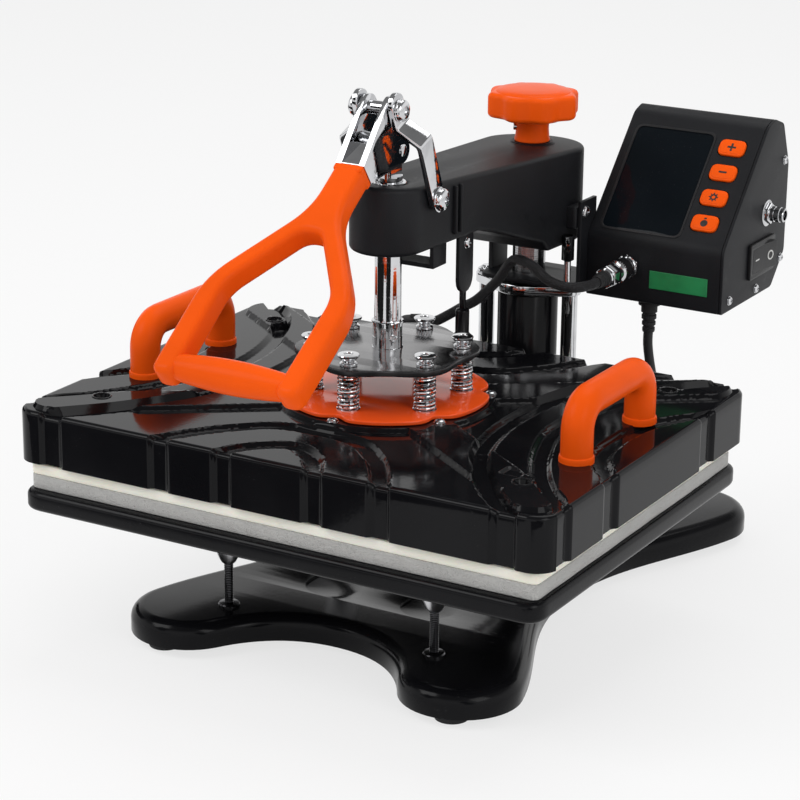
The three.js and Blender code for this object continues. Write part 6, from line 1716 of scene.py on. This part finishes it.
class PRESS_OT_spring_plate(bpy.types.Operator):
    """Orange spring plate with its notches, cross screws, six bolts and six coil springs"""
    bl_idname = "press.spring_plate"
    bl_label = "Spring plate"

    def execute(self, context):
        plate = flat("spring_plate", [polar_loop(self.notched, 300)], 170.3, 173.3, 0.9)
        shown(plate, "platen", "orange_plate", "orange paint", "ring_plate")
        bolt = turned("spring_bolt", [
            (7.9, 173.2), (7.9, 174.0), (7.3, 174.3), (4.3, 174.4), (4.3, 203.2), (5.9, 203.4), (5.9, 204.6),
            (5.2, 205.2), (4.0, 205.5), (4.0, 206.6), (5.4, 207.4), (7.3, 209.6), (7.4, 210.3), (7.0, 210.8),
            (3.2, 211.1), (2.9, 210.5), (1.0, 210.4),
        ], 40)
        repeated(bolt, numbered("spring_bolt", BOLT_SPOTS), "platen", "chrome", "chrome")
        notches = [(NOTCH_CIRCLE * math.cos(a), NOTCH_CIRCLE * math.sin(a), RAISED) for a in SIXTHS]
        screw = pan_screw("notch_screw", 3.6)
        repeated(screw, numbered("notch_screw", notches), "platen", "chrome", "chrome")
        self.springs()
        return {"FINISHED"}

    def notched(self, angle):
        """The plate's radius at an angle, with a soft notch before each cross screw."""
        off = math.degrees(angle) % 60 - 30
        return in_mm("ring_radius") + 0.9 - NOTCH_DEPTH * math.exp(-(off / NOTCH_WIDTH) ** 2)

    def springs(self):
        """A coil whose first and last turns lie closer, as ground ends do."""
        points = []
        for k in range(int(SPRING_TURNS * SPRING_STEPS) + 1):
            t = k / SPRING_STEPS
            ends = min(t, 1) + max(t - SPRING_TURNS + 1, 0)
            share = share_of(t - ends * 0.65, 0, SPRING_TURNS - 1.3)
            points.append((
                SPRING_RADIUS * math.cos(FULL * t), SPRING_RADIUS * math.sin(FULL * t),
                SPRING_LOW + (SPRING_HIGH - SPRING_LOW) * share,
            ))
        spring = bar("spring", points, in_mm("spring_wire"), 3)
        twins = repeated(
            spring, numbered("coil_spring", BOLT_SPOTS), "shaft", "chrome", "chrome",
            lambda k: "spring_%d" % (k + 1),
        )
        for twin, (x, y) in zip(twins, BOLT_SPOTS):
            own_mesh(twin)


class PRESS_OT_side_handles(bpy.types.Operator):
    """Two orange grab handles on their round feet, and the gland of the head cable"""
    bl_idname = "press.side_handles"
    bl_label = "Side handles"

    def execute(self, context):
        half = [(HANDLE_X, -HANDLE_REACH, DECK + 0.3), (HANDLE_X, -HANDLE_REACH, 176)]
        for k in range(11):
            a = math.pi / 2 * k / 10
            half.append((
                HANDLE_X, -HANDLE_REACH + HANDLE_BEND * (1 - math.cos(a)),
                HANDLE_TOP - HANDLE_BEND * (1 - math.sin(a)),
            ))
        grip = bar("grab_handle", half + [(x, -y, z) for x, y, z in half[::-1]], in_mm("handle_bar"), 9)
        rings = [(11.4, 166.4), (11.4, 169.6), (11.1, 170.6), (10.4, 171.2)]
        feet = [at(turned("foot", rings, 48), HANDLE_X, y, 0) for y in (-HANDLE_REACH, HANDLE_REACH)]
        handle = joined("grab_handle", grip, *feet)
        places = [("grab_handle_right", (0, 0, 0)), ("grab_handle_left", (-2 * HANDLE_X, 0, 0))]
        nodes = ("side_handle_right", "side_handle_left")
        repeated(handle, places, "platen", "orange", "orange moulding", lambda k: nodes[k])
        self.gland()
        return {"FINISHED"}

    def gland(self):
        """Where the head cable enters the cover: a post, its nut and a ribbed snout."""
        spot = Vector((-58, 132, 0))
        post = turned("gland_post", [
            (9.4, 166.8), (9.4, 168.6), (7.5, 169.2), (7.5, 180), (6.7, 181.1), (5.2, 181.5),
        ], 40)
        nut = rounded(turned("gland_nut", [(9.6, 168.6), (9.6, 172.8)], 6), 0.7, 2, 20)
        snout = turned("snout", [
            (5.4, 0), (5.4, 7.4), (5.0, 8.0), (5.0, 9.0), (5.4, 9.6), (4.8, 10.4), (5.0, 11.2), (4.6, 12),
        ], 32)
        moved(snout, facing((0.8358, 0.549, 0), spot + Vector((0, 0, 178))))
        whole = joined("gland_elbow", at(post, *spot), at(nut, *spot), snout)
        shown(whole, "platen", "plastic_black", "rubber", "cable_gland")


# Control box

SLOPE = math.radians(46.95)
BOX_FRONT, BOX_BACK = 201, 313
BOX_LEFT, BOX_RIGHT, BOX_SIDE = 48, 151.1, 153.5
BOX_SHEET = 2.4
SLOPE_BASIS = basis(
    ACROSS, (0, math.cos(SLOPE), math.sin(SLOPE)), (0, -math.sin(SLOPE), math.cos(SLOPE)),
    (0, BOX_FRONT, 244),
)
FRONT_BASIS = basis(ACROSS, (0, 0, 1), (0, -1, 0), (0, BOX_FRONT, 0))
REAR_BASIS = basis((-1, 0, 0), (0, 0, 1), (0, 1, 0), (200, BOX_BACK - 0.15, 0))
# The box from the side, in y and z, with the rounding of each corner
BOX_PROFILE = [
    (BOX_FRONT, 198, 2.5), (BOX_FRONT, 244, 5), (272, 320, 4), (284, 323.5, 3), (300, 318, 3),
    (BOX_BACK, 287, 3), (BOX_BACK, 221, 3), (291, 198, 3),
]
# The keys' places up the slope
KEY_SPOTS = {"timer": 20.3, "set": 41.2, "minus": 62.1, "plus": 83.0}
KEY_X = 132
ROCKER_Y, ROCKER_Z = 267, 226
MARK = (0, 0.18, 0.05, 1)


class PRESS_OT_box(bpy.types.Operator):
    """Folded control box: shell with its window, side plate, screen, green plate and screws"""
    bl_idname = "press.box"
    bl_label = "Control box"

    def execute(self, context):
        self.shell()
        self.screen()
        plate = flat("green_plate", [box_loop(97.6, 142.3, 210, 223, 0.6)], 0.05, 0.75, 0.25)
        shown(moved(plate, FRONT_BASIS), "arm", "plastic_black", "bare plate")
        side_screws = [(214, 206), (304.5, 290), (305, 217), (262, 203.5)]
        screws = [(3.0, ACROSS, (BOX_SIDE - 0.2, y, z)) for y, z in side_screws]
        screws += [(2.6, (0, 1, 0), (x, BOX_BACK - 0.2, z)) for x in (58, 142) for z in (230, 280)]
        shown(screws_at("box_screws", screws), "arm", "chrome", "chrome")
        vents = [flat("vent", [capsule_loop(70 + 9 * k, 240, 268, 1.7, 6)], 0, 0.5, 0.12) for k in range(7)]
        vents = [moved(slot, REAR_BASIS) for slot in vents]
        shown(joined("rear_louvres", *vents), "arm", "plastic_black", "hard plastic")
        dressed("circuit_board", "circuit")
        return {"FINISHED"}

    def shell(self):
        """The folded shell, with openings for the screen and the keys, and its side plate."""
        outer = rounded_loop(BOX_PROFILE)
        inner = inset_loop([(y, z) for y, z, _ in BOX_PROFILE], BOX_SHEET)
        shell = tidy(moved(flat("shell", [outer], BOX_LEFT, BOX_RIGHT), SIDEWAYS))
        rounded(shell, 1.6, 4, 60)
        cut(shell, tidy(moved(flat("room", [inner], BOX_LEFT + BOX_SHEET, 160), SIDEWAYS)))
        holes = [box_loop(55, 117, 6, 93, 6)]
        holes += [box_loop(KEY_X - 10.7, KEY_X + 10.7, s - 7.2, s + 7.2, 5.6) for s in KEY_SPOTS.values()]
        for hole in holes:
            cut(shell, moved(flat("opening", [hole], -6, 4), SLOPE_BASIS))
        shown(shell, "arm", "satin_black", "powder coat", "control_shell")
        side = tidy(moved(flat("side_plate", [outer], BOX_RIGHT + 0.1, BOX_SIDE, 0.7), SIDEWAYS))
        cut(side, block(
            "rocker_hole", 140, 160, ROCKER_Y - 19.5, ROCKER_Y + 19.5, ROCKER_Z - 10.6, ROCKER_Z + 10.6,
        ))
        shown(side, "arm", "satin_black", "powder coat", "control_side")

    def screen(self):
        border = [box_loop(54.2, 117.8, 5.2, 93.8, 6.6), box_loop(55.9, 116.1, 6.9, 92.1, 5.4)[::-1]]
        bezel = flat("bezel", border, -0.6, 0.45, 0.3)
        shown(moved(bezel, SLOPE_BASIS), "arm", "plastic_black", "hard plastic")
        lens = flat("screen_glass", [box_loop(55.2, 116.8, 6.2, 92.8, 5.8)], -2.4, -0.4, 0.5)
        shown(moved(lens, SLOPE_BASIS), "arm", "screen", "dark glass", "display_lens")


class PRESS_OT_keys(bpy.types.Operator):
    """Four orange keys with their plain marks"""
    bl_idname = "press.keys"
    bl_label = "Keys"

    def execute(self, context):
        for key, s in KEY_SPOTS.items():
            cap = flat("cap", [box_loop(-10, 10, -6.5, 6.5, 5)], -1.6, 1.5, 1.0, 4)
            crown = flat("crown", [box_loop(-8.6, 8.6, -5.1, 5.1, 4)], 0.6, 1.75, 0.5)
            spot = SLOPE_BASIS @ Matrix.Translation((KEY_X, s, 0))
            body = moved(joined("key_cap_" + key, cap, crown), spot)
            shown(body, "key_" + key, "orange", "orange moulding", "button_" + key)
            mark = moved(getattr(self, key)(), spot @ Matrix.Translation((0, 0, 1.7)))
            mark.name = "key_mark_" + key
            shown(mark, "key_" + key, "plastic_black", "black ink")
        return {"FINISHED"}

    def plus(self):
        thin, long = 0.75, 3.2
        quarter = [(thin, -long), (thin, -thin), (long, -thin)]
        right = quarter + [(x, -y) for x, y in quarter[::-1]]
        return flat("plus", [right + [(-x, -y) for x, y in right]], *MARK)

    def minus(self):
        return flat("minus", [box_loop(-3, 3, -0.75, 0.75, 0.2)], *MARK)

    def set(self):
        cog = polar_loop(lambda angle: 3.5 if math.cos(8 * angle) > 0 else 2.5, 64)
        return flat("cog", [cog, round_loop(1.3, 24)[::-1]], *MARK)

    def timer(self):
        face = flat("face", [round_loop(2.7, 32, 0, -0.7)], *MARK)
        return joined("watch", face, flat("crown", [box_loop(-1.0, 1.0, 2.6, 3.9, 0.3)], *MARK))


class PRESS_OT_fittings(bpy.types.Operator):
    """Rocker switch, side socket, round connector of the head cable and the cord's strain relief"""
    bl_idname = "press.fittings"
    bl_label = "Switch and sockets"

    def execute(self, context):
        self.switch()
        self.socket()
        self.connector()
        self.strain_relief()
        return {"FINISHED"}

    def switch(self):
        y, z = ROCKER_Y, ROCKER_Z
        border = [
            box_loop(y - 22, y + 22, z - 13, z + 13, 2), box_loop(y - 18, y + 18, z - 9, z + 9, 1)[::-1],
        ]
        rim = tidy(moved(flat("switch_frame", border, BOX_SIDE, 156.0, 0.6), SIDEWAYS))
        shown(rim, "arm", "plastic_black", "hard plastic", "rocker_frame")
        rocker = from_node("power_rocker", "switch_rocker", 0.5, 3)
        shown(rocker, "rocker", "plastic_black", "hard plastic", "power_rocker")
        self.marks(rocker)

    def marks(self, rocker):
        """The line and the ring, each laid on the rocker's face where it stands."""
        inverse = TO_ROW.inverted()
        faces = [
            (inverse @ p.center, p.normal.copy(), p.area)
            for p in rocker.data.polygons if p.normal.x > 0.7 and p.area > 0.00002
        ]
        shapes = {
            "switch_line": (257.5, [box_loop(-3.2, 3.2, -0.5, 0.5, 0.2)]),
            "switch_ring": (276.5, [round_loop(3.6, 40), round_loop(2.5, 40)[::-1]]),
        }
        for name, (y, loops) in shapes.items():
            centre, normal, _ = max(faces, key=lambda f: f[2] / (1 + abs(f[0].y - y)))
            slant = normal.y * (y - centre.y) + normal.z * (ROCKER_Z - centre.z)
            across = (Vector((0, 1, 0)) - normal * normal.y).normalized()
            spot = (centre.x + 0.05 - slant / normal.x, y, ROCKER_Z)
            face = basis(across, normal.cross(across), normal, spot)
            shown(moved(flat(name, loops, -0.1, 0.12, 0.03, 1), face), "rocker", "plastic_black", "white ink")

    def socket(self):
        nut = rounded(turned("nut", [(8, 153.6), (8, 157.3)], 6), 0.7, 2, 20)
        washer = turned("washer", [(9.6, 153.3), (9.6, 154.1), (9.1, 154.4)], 40)
        barrel = turned("barrel", [
            (5.6, 157), (5.6, 160), (5, 160.2), (5, 161), (5.5, 161.3), (5.5, 164.2), (5, 164.5), (5, 167),
            (4.6, 167.5), (3.6, 167.5), (3.4, 163),
        ], 40)
        body = moved(joined("side_socket_body", nut, washer, barrel), SIDEWAYS)
        shown(tidy(at(body, 0, 276, 256.5)), "arm", "chrome", "chrome", "side_socket")

    def connector(self):
        flange = rounded(turned("flange", [(9, 0), (9, 3.2)], 6), 0.6, 2, 20)
        ring = turned("ring", [(8.4, 3), (8.4, 4.4), (7.6, 4.6), (7.6, 9)], 48)
        barrel = turned("barrel", [(7.6, 8), (7.9, 9), (7.9, 20), (7.2, 21), (6.6, 22), (6.6, 26)], 48)
        knurl = [
            moved(block("rib", 7.5, 8.2, -0.28, 0.28, 10, 19.2), Matrix.Rotation(FULL * k / 30, 4, "Z"))
            for k in range(30)
        ]
        nut = rounded(turned("nut", [(8.4, 26), (8.4, 37.6)], 6), 0.9, 2, 20)
        neck = turned("neck", [(7.0, 37), (7.0, 39.4), (6.2, 40)], 48)
        metal = joined("connector_metal", flange, ring, barrel, nut, neck, *knurl)
        spot = facing((0, -1, 0), (81, BOX_FRONT - 0.3, 224))
        shown(moved(metal, spot), "arm", "chrome", "chrome", "head_connector")
        boot = turned("connector_boot", [
            (5.8, 39), (5.8, 42), (5.1, 42.6), (5.1, 43.6), (5.6, 44.2), (4.9, 45.2), (4.9, 46.2),
            (5.3, 46.8), (4.6, 47.8), (4.6, 49), (4.9, 49.6), (4.0, 52),
        ], 40)
        shown(moved(boot, spot), "arm", "plastic_black", "rubber")

    def strain_relief(self):
        boot = at(turned("strain_relief", [
            (4.3, 173.5), (4.6, 174.5), (4.6, 176.5), (4.0, 177), (4.0, 178), (5.0, 178.8), (5.0, 181),
            (4.3, 181.6), (4.3, 182.6), (5.4, 183.4), (5.4, 186), (4.7, 186.6), (4.7, 187.6), (5.9, 188.4),
            (5.9, 193.7), (8, 193.8), (8, 197.2), (7.4, 197.9),
        ], 40), 92, 215, 0)
        shown(boot, "arm", "foot_rubber", "rubber", "cord_gland")


# Panel and run

OPERATORS = [
    PRESS_OT_stage, PRESS_OT_cords, PRESS_OT_base, PRESS_OT_board, PRESS_OT_pad, PRESS_OT_column,
    PRESS_OT_arm, PRESS_OT_brackets, PRESS_OT_links, PRESS_OT_shaft, PRESS_OT_lever, PRESS_OT_knob,
    PRESS_OT_cover, PRESS_OT_spring_plate, PRESS_OT_side_handles, PRESS_OT_box, PRESS_OT_keys,
    PRESS_OT_fittings,
]


class PRESS_PT_panel(bpy.types.Panel):
    """Sizes, colours and pieces of the heat press"""
    bl_idname = "PRESS_PT_panel"
    bl_label = "Heat press"
    bl_space_type = "VIEW_3D"
    bl_region_type = "UI"
    bl_category = "Heat press"

    def draw(self, context):
        layout = self.layout
        for group in (context.scene.press_sizes, context.scene.press_colours):
            column = layout.column()
            for name in group.__annotations__:
                column.prop(group, name)
        for operator in OPERATORS:
            layout.operator(operator.bl_idname)


CLASSES = [PressSizes, PressColours, *OPERATORS, PRESS_PT_panel]


def register():
    for kind in CLASSES:
        bpy.utils.register_class(kind)
    bpy.types.Scene.press_sizes = PointerProperty(type=PressSizes)
    bpy.types.Scene.press_colours = PointerProperty(type=PressColours)


def unregister():
    del bpy.types.Scene.press_colours
    del bpy.types.Scene.press_sizes
    for kind in reversed(CLASSES):
        bpy.utils.unregister_class(kind)


def main():
    register()
    clear()
    for operator in OPERATORS:
        group, name = operator.bl_idname.split(".")
        if getattr(getattr(bpy.ops, group), name)() != {"FINISHED"}:
            raise RuntimeError(operator.bl_label + " was not finished")
    clear()


if __name__ == "__main__":
    main()
